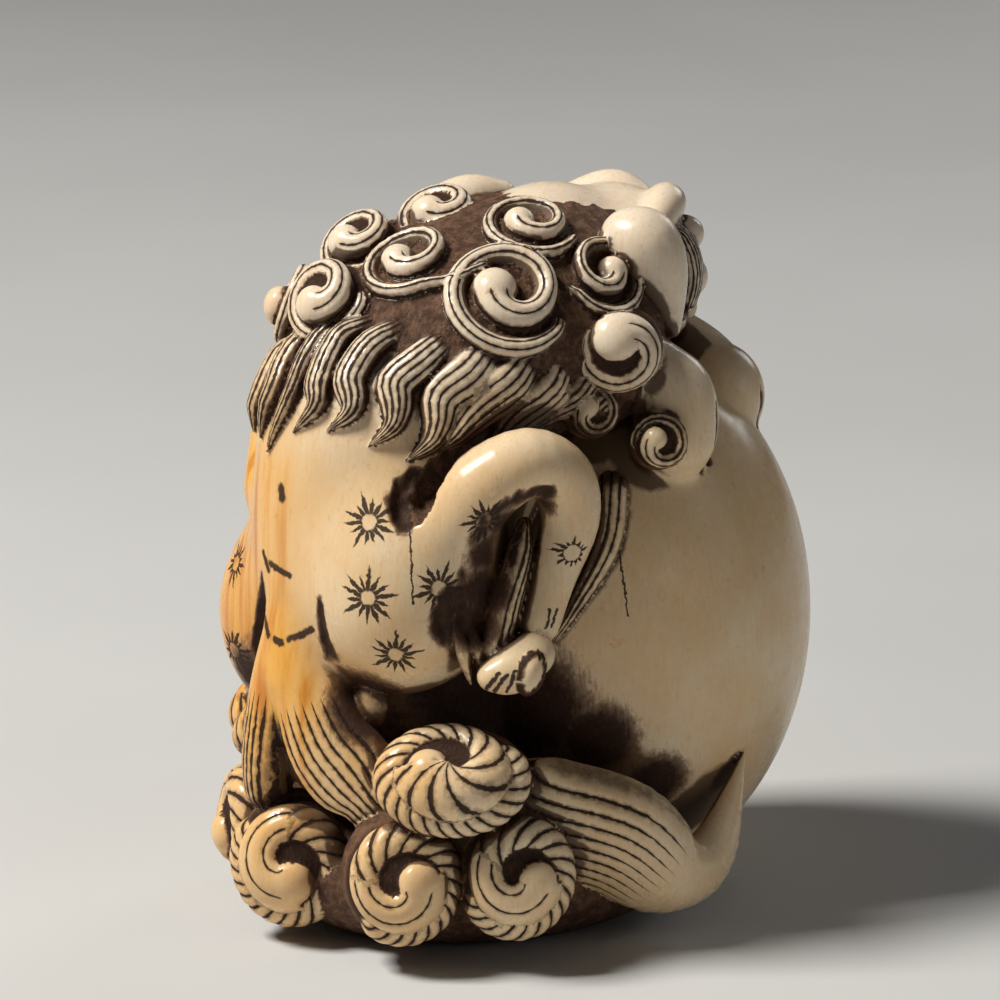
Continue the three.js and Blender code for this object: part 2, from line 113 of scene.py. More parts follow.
LEFT_ARM = [(3, 7.5, 33, 3), (8.2, 5, 31.8, 2.8), (11, 0.5, 30, 2.6), (11.2, -2.4, 28.8, 2.6)]
LEFT_PAW = {"at": (11.1, -3.2, 28.5), "radii": (2.6, 2.7, 3)}
RIGHT_FINGERS = {"paw": RIGHT_PAW, "facing": -15}
LEFT_FINGERS = {"paw": LEFT_PAW, "facing": -25}
FINGER_SPREAD = (-32, 0, 32)
FINGER_LINE = ((15, 0.08), (-15, 0.16), (-50, 0.2))
RIGHT_EAR = [
    (2.3, -6.6, 39.2, 1.8), (2.8, -7.1, 38.9, 2.05), (3.4, -7.4, 37.6, 1.8), (4.1, -7.4, 35.8, 1.15),
    (4.7, -7.2, 33.9, 0.5),
]
LEFT_EAR = [(3.2, 7.4, 39.4, 0.9), (1.2, 8, 39.2, 1.5), (-0.8, 8.6, 38.2, 1.4), (-2.6, 8.9, 36.6, 0.5)]
TAIL_ROOT = [(-15.6, 0, 20.5, 1.6), (-16.1, 0, 18, 1.4), (-16.2, -0.3, 15.5, 1.7)]


def spiral(at, radius, start, hand, **more):
    """One curl; more is the way it faces, how far its ridge reaches out as a tail, or its twin's share."""
    return {"at": at, "radius": radius, "start": start, "hand": hand, **more}


# Curls: the middle on the skin, the radius, where the ridge starts as a clock angle in degrees seen
# from outside, and the way it winds in: 1 is clockwise, -1 the other way. A pair has a twin on the
# left side, which is that share of its size.
MANE_CURLS = [
    spiral((-6.1, -6.8, 37.1), 3.8, 110, 1, pair=0.76),
    spiral((-9, -1.5, 38.4), 3, 60, 1, tail=1.8),
    spiral((-2.7, -4, 39.9), 2.8, 100, 1),
    spiral((-0.4, -7.2, 37.5), 2.6, 270, -1, pair=1),
]
NAPE_CURLS = [
    spiral((-11.9, 1.3, 35.6), 3.2, 60, 1, out=(-0.8, -0.25, 0.55)),
    spiral((-8.2, 3.8, 37.4), 2.9, 90, 1, out=(-0.6, -0.2, 0.77)),
    spiral((-3.9, 2.8, 38.5), 3, 90, 1, out=(-0.4, -0.3, 0.87)),
    spiral((-9.6, 7, 34), 3, 240, -1, out=(-0.6, 0.7, 0.4)),
]
NAPE_DOME = (2.4, 2.4, 2.4)
MANE_BEND = 8
CHEEK_CURLS = [
    spiral((0.2, -8.1, 33.7), 3.3, 310, -1, out=(-0.45, -0.88, 0.15), pair=1),
]
CHEEK_DOME = (2.6, 2.5, 2.4)
ARM_CURLS = [
    spiral((-1.3, -7.6, 30.1), 1.9, 250, 1, out=(-0.5, -0.85, 0.1)),
    spiral((1.9, -9.7, 28.3), 1.9, 250, 1, out=(-0.5, -0.85, 0.1)),
]
ARM_CURL_DOME = (1.6, 1.6, 1.6)
WHORLS = [
    spiral((-13, 6, 4.9), 4.3, 320, -1, out=(-0.8, 0.5, 0.1)),
    spiral((-15.4, 0.8, 4.6), 4.7, 320, -1, out=(-0.72, -0.68, 0.12)),
    spiral((-13.6, -7, 5.2), 4.3, 235, -1, out=(-0.56, -0.82, 0.05)),
    spiral((-8.4, -10.2, 5.3), 4.2, 260, -1, out=(-0.45, -0.88, 0.12), pair=1),
]
WHORL_DOME = (3.4, 3.3, 3.8)
RAISED_WHORLS = [
    spiral((-11, -8.2, 10.5), 5, 50, 1, out=(-0.5, -0.66, 0.56)),
    spiral((-9.4, 8.2, 9.6), 4.6, 310, -1, out=(-0.5, 0.66, 0.56)),
]
RAISED_DOME = (4.4, 4.4, 2.8)

# The strokes of a roped ridge and how far they lean, the lines along a plain one, and the knob that a
# ridge winds in to: its place and size as shares of the radius, and its height as a share of the ridge's.
ROPE_PITCH = 0.92
ROPE_SLANT = 0.75
RIDGE_LINES = 1.5
KNOB_REACH = 0.24
KNOB_SIZE = 0.33
KNOB_RISE = 1.45

# Locks of hair: places on the skin below, with half the width there.
BACK_LOCKS = [
    [(-12.2, -0.4, 35.8, 0.5), (-14, 0, 34.2, 0.7), (-15.8, -0.3, 31.9, 0.6), (-16.5, 0, 30.4, 0.45),
     (-17, 1.1, 28, 0.05)],
    [(-12, -1.9, 35.9, 0.6), (-13.6, -1.3, 34.4, 0.85), (-15.3, -1.8, 32.3, 0.9), (-15.8, -2.3, 31.2, 0.6),
     (-16.7, -1.1, 29.6, 0.05)],
    [(-11.1, -4, 36, 0.7), (-12.7, -3.2, 34.4, 0.95), (-14.3, -3.3, 32.8, 1), (-14.6, -4, 31.7, 0.85),
     (-14.9, -4.1, 31, 0.55), (-15.9, -3.3, 30, 0.05)],
    [(-9.9, -6.2, 35.2, 0.8), (-11.1, -5.7, 33.9, 1.05), (-12.6, -5.2, 32.6, 1.1), (-13, -5.8, 31.4, 0.9),
     (-13.4, -5.9, 30.4, 0.55), (-14.6, -5.4, 29.4, 0.05)],
    [(-8, -7.8, 34.4, 1), (-9.1, -7.5, 33.2, 1.4), (-10.6, -6.8, 31.9, 1.3), (-11.2, -7.1, 30.5, 0.95),
     (-11.8, -7.1, 29.5, 0.6), (-13, -6.8, 28.6, 0.05)],
    [(-5.7, -8.5, 33.7, 1.1), (-7.3, -8.2, 32.5, 1.4), (-8.5, -7.5, 31.5, 1.3), (-10.4, -7.5, 29.8, 0.7),
     (-11.3, -7.4, 29.1, 0.05)],
    [(-3.4, -8.6, 32.7, 1.1), (-5, -8.4, 31.4, 1.5), (-6.8, -8, 30.2, 1.2), (-8.6, -8, 28.8, 0.1)],
]
# Locks in shade; the material paints them partly in the brown ground colour as painted shade.
SHADED_LOCKS = [
    [(-1.4, -8.8, 32.4, 0.9), (-3.2, -8.6, 31, 1.1), (-5, -8.4, 30, 0.9), (-6.6, -8.6, 29.4, 0.1)],
    [(-0.6, -8.6, 31.2, 0.7), (-2, -8.6, 30.2, 0.9), (-3.6, -8.4, 29.4, 0.1)],
]
CHEEK_HAIR = [
    (6.4, -4.6, 39.6, 0.2), (7.5, -4.5, 38.4, 0.8), (8, -4.5, 36.6, 1.2), (7.6, -4.7, 34.8, 0.8),
    (6.8, -4.8, 33.4, 0.1),
]
LEFT_LOCKS = [
    [(-12.4, 1.6, 35, 0.7), (-14.6, 1.9, 32.6, 1), (-15.6, 1.5, 31, 0.8), (-16.6, 2.2, 28.6, 0.05)],
    [(-12.2, 4, 34, 0.8), (-14.2, 4, 31.8, 1.2), (-14.8, 3.6, 30.4, 0.9), (-15.9, 4.2, 28.4, 0.05)],
    [(-10.2, 6.4, 34, 0.9), (-12.4, 6.2, 31.6, 1.3), (-13.2, 5.6, 30.2, 1), (-14.5, 6, 28, 0.05)],
    [(-7.4, 7.9, 34, 1), (-9.8, 7.6, 31.4, 1.4), (-10.9, 7, 30, 1.1), (-12.2, 7.2, 28, 0.05)],
    [(-4.4, 8.4, 33, 1), (-6.8, 8.2, 30.8, 1.4), (-7.8, 7.8, 29.6, 1.1), (-9.2, 8, 27.6, 0.05)],
]
LEG_HAIR = [
    (-7.1, -9.6, 24.9, 0.35), (-8, -10.1, 22.6, 0.9), (-8.7, -10.2, 20.8, 1.3), (-9.2, -10.1, 18.5, 1.3),
]
# A groove down the back of the right leg.
LEG_HOLLOW = [
    (-7.6, -12.2, 26.8, 0.7), (-9.6, -12.8, 26.2, 1.3), (-11.1, -12.3, 24.7, 1.6), (-11.7, -11.8, 22.5, 1.6),
    (-12.5, -10.9, 20.1, 1.5), (-11.9, -10.8, 18.3, 1.3),
]
HEEL_HAIR = [(0, -7.9, 26, 1), (-1.6, -9.4, 22.8, 1), (-4.4, -9.9, 19.4, 0.5), (-5.4, -9.4, 17.6, 0.2)]
LEAVES = [
    [(-11.8, -9.3, 20.4, 0.2), (-11.5, -9.9, 18.4, 0.5), (-10.9, -9.8, 16.4, 0.15)],
    [(-11, -9.4, 20.2, 0.2), (-10.7, -10.1, 18.4, 0.45), (-10.3, -10, 16.8, 0.15)],
]
TAIL_LOCKS = [
    {"facing": (-0.97, 0.24, 0.1), "places": [
        (-15.9, 0.5, 18.6, 1.2), (-16.5, 1, 15.4, 1.6), (-17, 1.3, 12, 1.7), (-17, 1.5, 9.4, 1.5),
        (-16.6, 1.4, 7.6, 0.8)]},
    {"facing": (-0.85, -0.52, 0.1), "places": [
        (-15.9, -0.7, 18.6, 1.4), (-16.2, -1.6, 15.4, 2), (-15.9, -3, 12.4, 2.6), (-15.1, -4.3, 10.6, 2.8),
        (-14.4, -5.2, 9.4, 2)]},
]
TAIL_FLARE = {"at": (-15, -0.6, 13.4), "radii": (1.9, 2.9, 5)}
TAIL_SLITS = [
    [(-17.1, 1.9, 20.9, 0.1), (-16.8, 2.2, 19.4, 0.35), (-16.4, 3, 17.6, 0.45), (-16.2, 3.6, 15.8, 0.6)],
    [(-17, -3.9, 20.7, 0.1), (-17, -3.9, 19.6, 0.3), (-16.7, -3.7, 18.4, 0.4), (-16.4, -3.8, 17, 0.6)],
]
# A pit high on the right flank, and the brown hollow along its edge.
PIT = [(-12.9, -7.4, 28, 0.35), (-13.6, -7.4, 27.2, 0.55), (-14, -7.6, 26.3, 0.6), (-14.1, -8.2, 25.4, 0.35)]
PIT_EDGE = [(-13.5, -8.4, 26, 0.5), (-12.5, -8.1, 26.8, 0.9), (-11.5, -8.1, 27.8, 1), (-10.2, -8.1, 29, 0.7)]
FLAME = [
    (-5.6, -9.6, 7.6, 4.1), (-2.2, -11.3, 6.4, 3.8), (1.2, -12, 3.9, 2.7), (4.2, -12, 4.6, 1.7),
    (7, -11.2, 9.6, 0.15),
]

# Patches of dirt and painted shade on every surface: the middle of each patch, and how far it reaches.
# The middle of a patch is evenly dark, out to a share of that reach.
GRIME_AND_PAINTED_SHADE = [
    (-4.5, -6.5, 13.5, 5), (-8, -6, 14.5, 5), (-9, -4, 15.5, 4.5), (-2, -9.6, 11.5, 3.2),
    (1.5, -10.6, 8.6, 2.6), (-1.8, -9.2, 27.6, 2.6), (-14.5, -5, 14.5, 3.2), (-7.3, -11.4, 26, 1.2),
    (-9.3, -11.3, 25.2, 1.7), (-10, -10.9, 23.6, 2.1), (-10.4, -10.6, 21.6, 2.2), (-11, -10.4, 19.8, 2.1),
]
GRIME_AND_SHADE_DARKNESS = 0.95
GRIME_AND_SHADE_CORE = 0.35

# The two cord holes under the base are joined inside.
CORD_TUNNEL = [
    (-3, -4.2, -1, 1.8), (-3, -4.2, 2.6, 1.8), (-3, -2.4, 4.8, 1.7), (-3, 0, 5.5, 1.6),
    (-3, 2.4, 4.8, 1.5), (-3, 4.2, 2.6, 1.5), (-3, 4.2, -1, 1.5),
]

# Engraved lines are this wide, carved strands this deep where they lie at least so far apart, and the
# brown ground and the hollows this uneven.
LINE_WIDTH = 0.17
STRAND_DEPTH = 0.16
FULL_PITCH = 0.5
GROUND_RELIEF = 0.1

# The mesh: the spacing of the grid that the surface is found on, and how many triangles stay. A coarse
# grid finds the surface first, and distances are worked out for so many points at once.
GRID = 0.17
TRIANGLES = 196000
COARSE_CELLS = 4
POINTS_AT_ONCE = 400000
CORNERS = [np.array((i, j, k)) for i in (0, 1) for j in (0, 1) for k in (0, 1)]

# What is kept on each point for its material: where it lies between two engraved lines, how wide they
# are, how far it is brown ground, and how dark its dirt and painted shade are. Narrow and wide hollows are
# also kept.
MARKS = ("phase", "line", "ground", "dark")
CREVICE_REACH = 0.5
HOLLOW_REACH = 1.8

# Colours are red, green, blue and a full alpha.
CREAM = (0.8, 0.57, 0.32, 1)
WHITE_CREAM = (0.86, 0.69, 0.46, 1)
PALE = (0.88, 0.77, 0.63, 1)
HONEY = (0.8, 0.41, 0.08, 1)
AMBER = (0.6, 0.21, 0.025, 1)
GROUND_BROWN = (0.06, 0.024, 0.009, 1)
GROUND_MAUVE = (0.2, 0.105, 0.058, 1)
DIRT_AND_SHADE = (0.066, 0.023, 0.006, 1)
PITCH = (0.03, 0.009, 0.002, 1)
TEA = (0.2, 0.095, 0.038, 1)
INK = (0.026, 0.008, 0.002, 1)
PAPER_GREY = (0.62, 0.62, 0.61, 1)
PAPER_WHITE = (0.66, 0.66, 0.65, 1)

# Settings of the polished ivory that are the same all over it.
POLISH = {
    "Subsurface Weight": 0.15,
    "Subsurface Radius": (1, 0.5, 0.2),
    "Subsurface Scale": 1.2 * MM,
    "IOR": 1.53,
    "Specular IOR Level": 0.36,
}

# Engraved stars: the middle and the radius of the spikes.
STARS = [
    ((-15.4, -6.6, 25.5), 1.75), ((-16.1, -7.5, 21.5), 1.9), ((-13, -9.9, 22.1), 1.7),
    ((-14.7, -8.1, 18.2), 1.7), ((-10.9, -11.5, 25.9), 1.45), ((-5.7, -12.1, 23.5), 1),
    ((-15.8, 6.3, 20.5), 1.5), ((-16.1, 6.3, 15.4), 1.6), ((-9, 8.4, 24), 1.6), ((-6, 12.1, 23.6), 1.3),
]
STAR_SPIKES = 14
STAR_DISC = 0.46

# Other marks, by the way that the surface faces there: from, to, and half the width.
STROKES = {
    (-1, 0, 0): [
        ((-17.2, -0.5, 26.4), (-17.2, -0.6, 25.9), 0.28),
        ((-17.2, 1.4, 22.3), (-17.2, 0.8, 21.5), 0.2),
        ((-17.2, 0.6, 21.9), (-17.2, -1.3, 21.6), 0.18),
        ((-17.6, 1, 18.7), (-17.6, 0.3, 17.9), 0.2),
        ((-17.5, -0.4, 17.8), (-17.4, -0.9, 17.7), 0.2),
        ((-17.2, -1.4, 18), (-16.7, -2.8, 18.8), 0.18),
    ],
    (-0.55, -0.83, 0): [
        ((-14, -8.5, 25.4), (-14.2, -9.1, 21.3), 0.05),
    ],
    (-0.4, -0.9, 0): [
        ((-0.7, -9.6, 22.5), (-0.7, -10.6, 18.8), 0.05),
    ],
    (-0.55, -0.8, 0.2): [
        ((-10.6, -12.1, 17.4), (-11, -11.6, 16.5), 0.11),
        ((-10.2, -12.3, 17.3), (-10.6, -11.7, 16.3), 0.11),
        ((-9.8, -12.6, 17.5), (-10.1, -12.2, 16.3), 0.1),
        ((-7, -11.9, 20.4), (-7.3, -11.9, 19.4), 0.07),
        ((-6.6, -12, 20.4), (-6.9, -11.9, 19.4), 0.07),
    ],
}
STROKE_DEPTH = 1.6

# Stars are drawn flat as seen from this place inside the body, and no further off than their reach.
BODY_MIDDLE = (-9, 0, 22)
LEVELLED = (1, 1, 0.4)
STAR_REACH = 2.4

# The camera, and lights that stand right, up and towards the camera from its target, in metres.
TARGET = Vector((-0.0002, 0.00095, 0.0232))
CAMERA_DISTANCE = 0.33
CAMERA_AZIMUTH = math.radians(-35)
CAMERA_ELEVATION = math.radians(14)
LENS = 207.9
SENSOR = 36
LIGHTS = {
    "key": {"offset": (-0.26, 0.34, 0.15), "size": 0.12, "watts": 2.6, "tint": (1, 0.97, 0.92)},
    "fill": {"offset": (0.42, 0.1, 0.15), "size": 0.22, "watts": 0.08, "tint": (0.98, 0.98, 1)},
    "rim": {"offset": (0.25, 0.25, -0.3), "size": 0.15, "watts": 0.2, "tint": (1, 1, 1)},
}
SKY = (0.72, 0.74, 0.78, 1)
SKY_STRENGTH = 0.055
FLOOR_HALF = 1.5

# ---- distances


def egg(points, at, radii, tilt=0):
    """Roughly how far points are outside one egg, which leans forward by tilt degrees."""
    local = points - np.array(at, np.float32)
    if tilt:
        lean = math.radians(tilt)
        x, z = local[:, 0].copy(), local[:, 2].copy()
        local[:, 0] = x * math.cos(lean) - z * math.sin(lean)
        local[:, 2] = x * math.sin(lean) + z * math.cos(lean)
    radii = np.array(radii, np.float32)
    near = np.linalg.norm(local / radii, axis=1)
    slope = np.linalg.norm(local / radii ** 2, axis=1)
    return near * (near - 1) / np.maximum(slope, TINY)


def soft_min(first, second, blend):
    """The nearer of two distances, with their meeting rounded over a width."""
    overlap = np.maximum(blend - np.abs(first - second), 0) / blend
    return np.minimum(first, second) - overlap * overlap * blend / 4


def soft_max(first, second, blend):
    return -soft_min(-first, -second, blend)


def eggs(points, forms, blend):
    total = egg(points, **forms[0])
    for form in forms[1:]:
        total = soft_min(total, egg(points, **form), blend)
    return total


def body_skin(points):
    return eggs(points, BODY, BODY_BLEND)


def head_skin(points):
    return eggs(points, HEAD, HEAD_BLEND)


def ball_skin(points):
    return egg(points, **BALL)


def muzzle_skin(points):
    return egg(points, **MUZZLE)


def body_or_head(points):
    return soft_min(body_skin(points), head_skin(points), 1.2)


def slope_of(skin, points, step=0.2):
    """The direction straight out of a skin at each point."""
    slope = np.stack([skin(points + step * axis) - skin(points - step * axis) for axis in np.eye(3)], 1)
    return slope / np.maximum(np.linalg.norm(slope, axis=1, keepdims=True), TINY)


def settled(skin, places, height):
    """Places moved straight in or out until they stand a height above a skin."""
    places = np.array(places, float)
    for _ in range(8):
        places = places + slope_of(skin, places) * (height - skin(places))[:, None]
    return places


def mirrored(places):
    """The same places on the shishi's left side."""
    return [(x, -y, z, *rest) for x, y, z, *rest in places]


SIDES = (list, mirrored)


def form_on(side, form):
    """A form as it is, or on the left: side is one of SIDES."""
    return {**form, "at": side([form["at"]])[0]}


def with_twins(curls):
    """Curls, each followed by its twin on the left side where it is one of a pair."""
    for curl in curls:
        yield curl
        if "pair" in curl:
            twin = {**form_on(mirrored, curl), "hand": -curl["hand"], "start": -curl["start"]}
            twin["radius"] *= curl["pair"]
            if "out" in curl:
                twin["out"] = mirrored([curl["out"]])[0]
            yield twin


def smooth_step(low, high, value):
    share = np.clip((value - low) / (high - low), 0, 1)
    return share * share * (3 - 2 * share)


def curve_through(places, steps):
    """Samples on a smooth curve through places, with what they carry, such as a radius."""
    knots = np.array(places, float)
    ends = np.vstack([2 * knots[0] - knots[1], knots, 2 * knots[-1] - knots[-2]])
    spots = np.linspace(0, len(knots) - 1, steps + 1)
    first = np.minimum(spots.astype(int), len(knots) - 2)
    t = (spots - first)[:, None]
    a, b, c, d = ends[first], ends[first + 1], ends[first + 2], ends[first + 3]
    square = (2 * a - 5 * b + 4 * c - d) * t ** 2
    cube = (3 * b - a - 3 * c + d) * t ** 3
    return 0.5 * (2 * b + (c - a) * t + square + cube)


def tube(points, samples):
    """Distance to a tapered round tube through samples of place and radius."""
    best = np.full(len(points), FAR, np.float32)
    for start, end in zip(samples[:-1], samples[1:]):
        step = end[:3] - start[:3]
        share = np.clip((points - start[:3]) @ step / max(step @ step, TINY), 0, 1)
        gap = np.linalg.norm(points - start[:3] - share[:, None] * step, axis=1)
        best = np.minimum(best, gap - (start[3] + share * (end[3] - start[3])))
    return best


def groove(phase):
    """Depth of the valley between rounded strands: 1 on whole numbers and 0 halfway between."""
    middle = 1 - 2 * np.abs(phase - np.round(phase))
    return 1 - np.sqrt(np.maximum(1 - middle ** 2, 0))


def roughness(points, size, seed):
    """A smooth uneven value near -1 to 1, whose swells are about size across."""
    chance = np.random.default_rng(seed)
    total = np.zeros(len(points), np.float32)
    for _ in range(7):
        direction = chance.normal(size=3)
        direction *= 2 * math.pi / (size * chance.uniform(0.7, 1.5) * np.linalg.norm(direction))
        total += np.sin(points @ direction + chance.uniform(0, 2 * math.pi))
    return total / 3.5


# ---- the carving


class Carving:
    """The carving at many points: how far outside it each lies, and the marks of its surface there."""

    def __init__(self, points):
        self.points = np.asarray(points, np.float32)
        self.everywhere = np.arange(len(points))
        self.distance = np.full(len(points), FAR, np.float32)
        self.marks = {name: np.zeros(len(points), np.float32) for name in MARKS}

    def around(self, places, margin):
        """The points within a margin of the box round some places."""
        places = np.atleast_2d(np.array(places, float))[:, :3]
        low = places.min(axis=0) - margin
        high = places.max(axis=0) + margin
        return np.nonzero(np.all((self.points > low) & (self.points < high), axis=1))[0]

    def join(self, where, distance, blend=0.3, **marks):
        """Adds a form, whose marks hold where it is the nearest."""
        before = self.distance[where]
        owned = distance < before
        self.distance[where] = soft_min(before, distance, blend)
        for name in MARKS:
            value = np.broadcast_to(marks.get(name, 0), distance.shape)
            self.marks[name][where[owned]] = value[owned]

    def cut(self, where, distance, blend=0.2, **marks):
        """Takes a form away, and marks the surface that this leaves."""
        before = self.distance[where]
        owned = -distance > before
        self.distance[where] = soft_max(before, -distance, blend)
        for name, value in marks.items():
            self.marks[name][where[owned]] = np.broadcast_to(value, distance.shape)[owned]

    def darken(self, where, value):
        """Deepens the dark mark of the surface at some points."""
        self.marks["dark"][where] = np.maximum(self.marks["dark"][where], value)


def add_egg(carving, form, blend=0.3, **marks):
    where = carving.around([form["at"]], max(form["radii"]) + 2)
    carving.join(where, egg(carving.points[where], **form), blend, **marks)


def add_tube(carving, places, blend=0.3, steps=16, **marks):
    samples = curve_through(places, steps)
    where = carving.around(samples, samples[:, 3].max() + 1.5)
    carving.join(where, tube(carving.points[where], samples), blend, **marks)


def add_groove(carving, places, dark=1.0, halo=0.35, steps=10, blend=0.25, ground=0.0):
    """A hollow cut along places, whose darkening spreads a little past its edge."""
    samples = curve_through(places, steps)
    where = carving.around(samples, samples[:, 3].max() + halo + 0.5)
    points = carving.points[where]
    distance = tube(points, samples) + GROUND_RELIEF * roughness(points, 0.9, 5)
    carving.cut(where, distance, blend, ground=ground, line=0)
    carving.darken(where, dark * (1 - smooth_step(0.0, halo, distance)))


def lock_frame(points, samples, outward):
    """How points lie by a lock: across it, above it, past its end, its half width, and how far along."""
    steps = len(samples) - 1
    best = np.full(len(points), FAR)
    lie = np.zeros((5, len(points)))
    for index in range(steps):
        start, end = samples[index], samples[index + 1]
        step = end[:3] - start[:3]
        length = max(np.linalg.norm(step), TINY)
        share = np.clip((points - start[:3]) @ step / length ** 2, 0, 1)
        offset = points - start[:3] - share[:, None] * step
        gap = np.linalg.norm(offset, axis=1)
        up = outward[index] + share[:, None] * (outward[index + 1] - outward[index])
        along = step / length
        side = np.cross(up, along)
        side /= np.maximum(np.linalg.norm(side, axis=1, keepdims=True), TINY)
        over = np.cross(along, side)
        half = start[3] + share * (end[3] - start[3])
        spot = (index + share) / steps
        found = [(offset * side).sum(axis=1), (offset * over).sum(axis=1), offset @ along, half, spot]
        lie = np.where(gap < best, found, lie)
        best = np.minimum(gap, best)
    return lie


def add_lock(carving, places, skin, strands, thick=0.7, lift=0.15, steps=20, rise=None, settle=True,
             facing=None, start=None, fade=None, roundness=1.2, depth=1, blend=0.12, ground=0):
    """A lock of hair with carved strands along it, moved to a height of lift over the skin if it settles.

    rise is where it has come out of the skin, and facing is the way its face is turned if not outwards.
    The strands begin at start and run out between the two ends of fade.
    """
    samples = curve_through(places, steps)
    risen = smooth_step(0, rise or 0.02, np.linspace(0, 1, steps + 1))
    if settle:
        samples[:, :3] = settled(skin, samples[:, :3], lift - (thick + lift) * (1 - risen))
    outward = np.tile(facing, (steps + 1, 1)) if facing else slope_of(skin, samples[:, :3])
    where = carving.around(samples, samples[:, 3].max() + 1.2)
    across, above, beyond, half, spot = lock_frame(carving.points[where], samples, outward)
    half = np.maximum(half, 0.04)
    thickness = np.minimum(thick, half * roundness)
    reach = np.sqrt((across / half) ** 2 + (above / thickness) ** 2 + (beyond / half) ** 2)
    strength = 1 - smooth_step(*fade, spot) if fade else np.ones(len(where))
    if start:
        strength = strength * smooth_step(start, start + 0.15, spot)
    phase = (across / half + 1) * strands / 2
    pitch = 2 * half / strands
    carved = STRAND_DEPTH * depth * strength * groove(phase) * np.minimum(1, pitch / FULL_PITCH)
    line = strength * np.minimum(LINE_WIDTH / 2 / pitch, 0.3)
    buried = 1 - smooth_step(0, rise, spot) if rise else 0
    carving.join(where, (reach - 1) * np.minimum(thickness, half) + carved, blend, phase=phase, line=line,
                 ground=np.maximum(ground, buried))


def curl_axes(curl, skin):
    """The middle of a curl, and its directions out, up and right as seen from outside."""
    centre = np.array(curl["at"], float)
    out = np.array(curl["out"], float) if "out" in curl else slope_of(skin, centre[None])[0]
    out /= np.linalg.norm(out)
    up = np.array([0.0, 0.0, 1.0]) - out[2] * out
    up /= np.linalg.norm(up)
    return centre, out, up, np.cross(up, out)


def spiral_lap(reach, share, curl, turns, ridge, height, rope):
    """One lap of a ridge: its height, the phase of its strokes or lines, and how wide they are."""
    half_ridge = curl["radius"] * ridge
    outer = curl["radius"] - half_ridge
    inside = share <= 1
    share = np.minimum(share, 1)
    inward = smooth_step(0.2, 1, share)
    middle = outer + (curl["radius"] * KNOB_REACH - outer) * inward
    middle = middle + curl.get("tail", 0) * (1 - smooth_step(0, 0.14, share))
    half = half_ridge * (0.65 + 0.35 * smooth_step(0, 0.15, share) + 0.9 * smooth_step(0.55, 1, share))
    across = (reach - middle) / half
    rounded = height * (1 + 0.3 * inward) * np.maximum(1 - across ** 2, 0) ** 0.6
    rounded = rounded * smooth_step(0, 0.05, share) * inside
    length = share * turns * 2 * math.pi * (outer + middle) / 2
    roped = share < rope
    phase = np.where(roped, length / ROPE_PITCH + across * ROPE_SLANT, RIDGE_LINES * (across - 0.2))
    width = np.where(roped, LINE_WIDTH / 2 / ROPE_PITCH * 1.4, LINE_WIDTH / 3 / half * RIDGE_LINES)
    return rounded, phase, width


def knob_dome(x, y, curl, turns, height, knob):
    """Height of the round knob that a ridge winds in to."""
    end = math.radians(curl["start"] + curl["hand"] * turns * 360)
    knob_x = curl["radius"] * KNOB_REACH * math.sin(end)
    knob_y = curl["radius"] * KNOB_REACH * math.cos(end)
    gap = np.hypot(x - knob_x, y - knob_y) / (curl["radius"] * knob)
    return height * KNOB_RISE * np.sqrt(np.maximum(1 - gap ** 2, 0))


def spiral_relief(x, y, curl, turns, ridge, height, rope=0.0, knob=KNOB_SIZE):
    """Height of a spiral ridge and its knob over the skin, and the marks along the ridge.

    ridge is half its width and knob the knob's size, as shares of the radius. rope is the share of its
    length that is cut like a rope.
    """
    reach = np.hypot(x, y)
    turn = (curl["hand"] * (np.degrees(np.arctan2(x, y)) - curl["start"])) % 360 / 360
    best = np.zeros(len(x)), np.full(len(x), 0.5), np.zeros(len(x))
    for lap in range(math.ceil(turns) + 1):
        found = spiral_lap(reach, (turn + lap) / turns, curl, turns, ridge, height, rope)
        best = np.where(found[0] > best[0], found, best)
    relief, phase, line = best
    dome = knob_dome(x, y, curl, turns, height, knob)
    line = np.where(dome > relief, 0, line)
    carved = np.where(line > 0, STRAND_DEPTH * groove(phase), 0)
    relief = soft_max(relief - carved * smooth_step(0.05, 0.3, relief), dome, 0.12)
    return relief, phase, line


def add_curl(carving, curl, skin, bend, **ridge):
    """A curl carved on a skin that bends back at a radius, with a dark furrow between its turns."""
    centre, out, up, right = curl_axes(curl, skin)
    where = carving.around([centre], curl["radius"] + 2.5)
    points = carving.points[where]
    ray = points - (centre - bend * out)
    facing = ray @ out
    near = facing > 0
    where, points, ray, facing = where[near], points[near], ray[near], facing[near]
    sideways = np.stack([ray @ right, ray @ up], 1)
    spread_out = np.maximum(np.linalg.norm(sideways, axis=1), TINY)
    arc = bend * np.arctan2(spread_out, facing)
    x, y = (sideways * (arc / spread_out)[:, None]).T
    relief, phase, line = spiral_relief(x, y, curl, **ridge)
    raised = smooth_step(0.05, 0.25, relief)
    furrow = (1 - raised) * (1 - smooth_step(0.75, 1.05, arc / curl["radius"]))
    carving.join(where, skin(points) - relief, 0.06, phase=phase, line=line * (raised > 0.3),
                 ground=1 - raised, dark=furrow)


def add_whorl(carving, curl, dome_radii, **ridge):
    """A curl on a dome of its own, on the side that it faces."""
    dome = {"at": curl["at"], "radii": dome_radii}

    def skin(points):
        return egg(points, **dome)

    add_egg(carving, dome, 0.3, ground=1, dark=0.4)
    out = np.array(curl["out"]) / np.linalg.norm(curl["out"])
    face = settled(skin, [np.array(curl["at"]) + out * dome_radii[0]], 0)[0]
    bend = float(np.linalg.norm(face - np.array(curl["at"])))
    add_curl(carving, {**curl, "at": tuple(face)}, skin, bend, **ridge)


def add_ball_and_base(carving):
    for form in (BASE, BELLY, BANK, form_on(mirrored, BANK)):
        add_egg(carving, form, 0.6, ground=1)
    carving.join(carving.everywhere, ball_skin(carving.points), 0.3)


def add_body(carving):
    carving.join(carving.everywhere, body_skin(carving.points), 0.3)


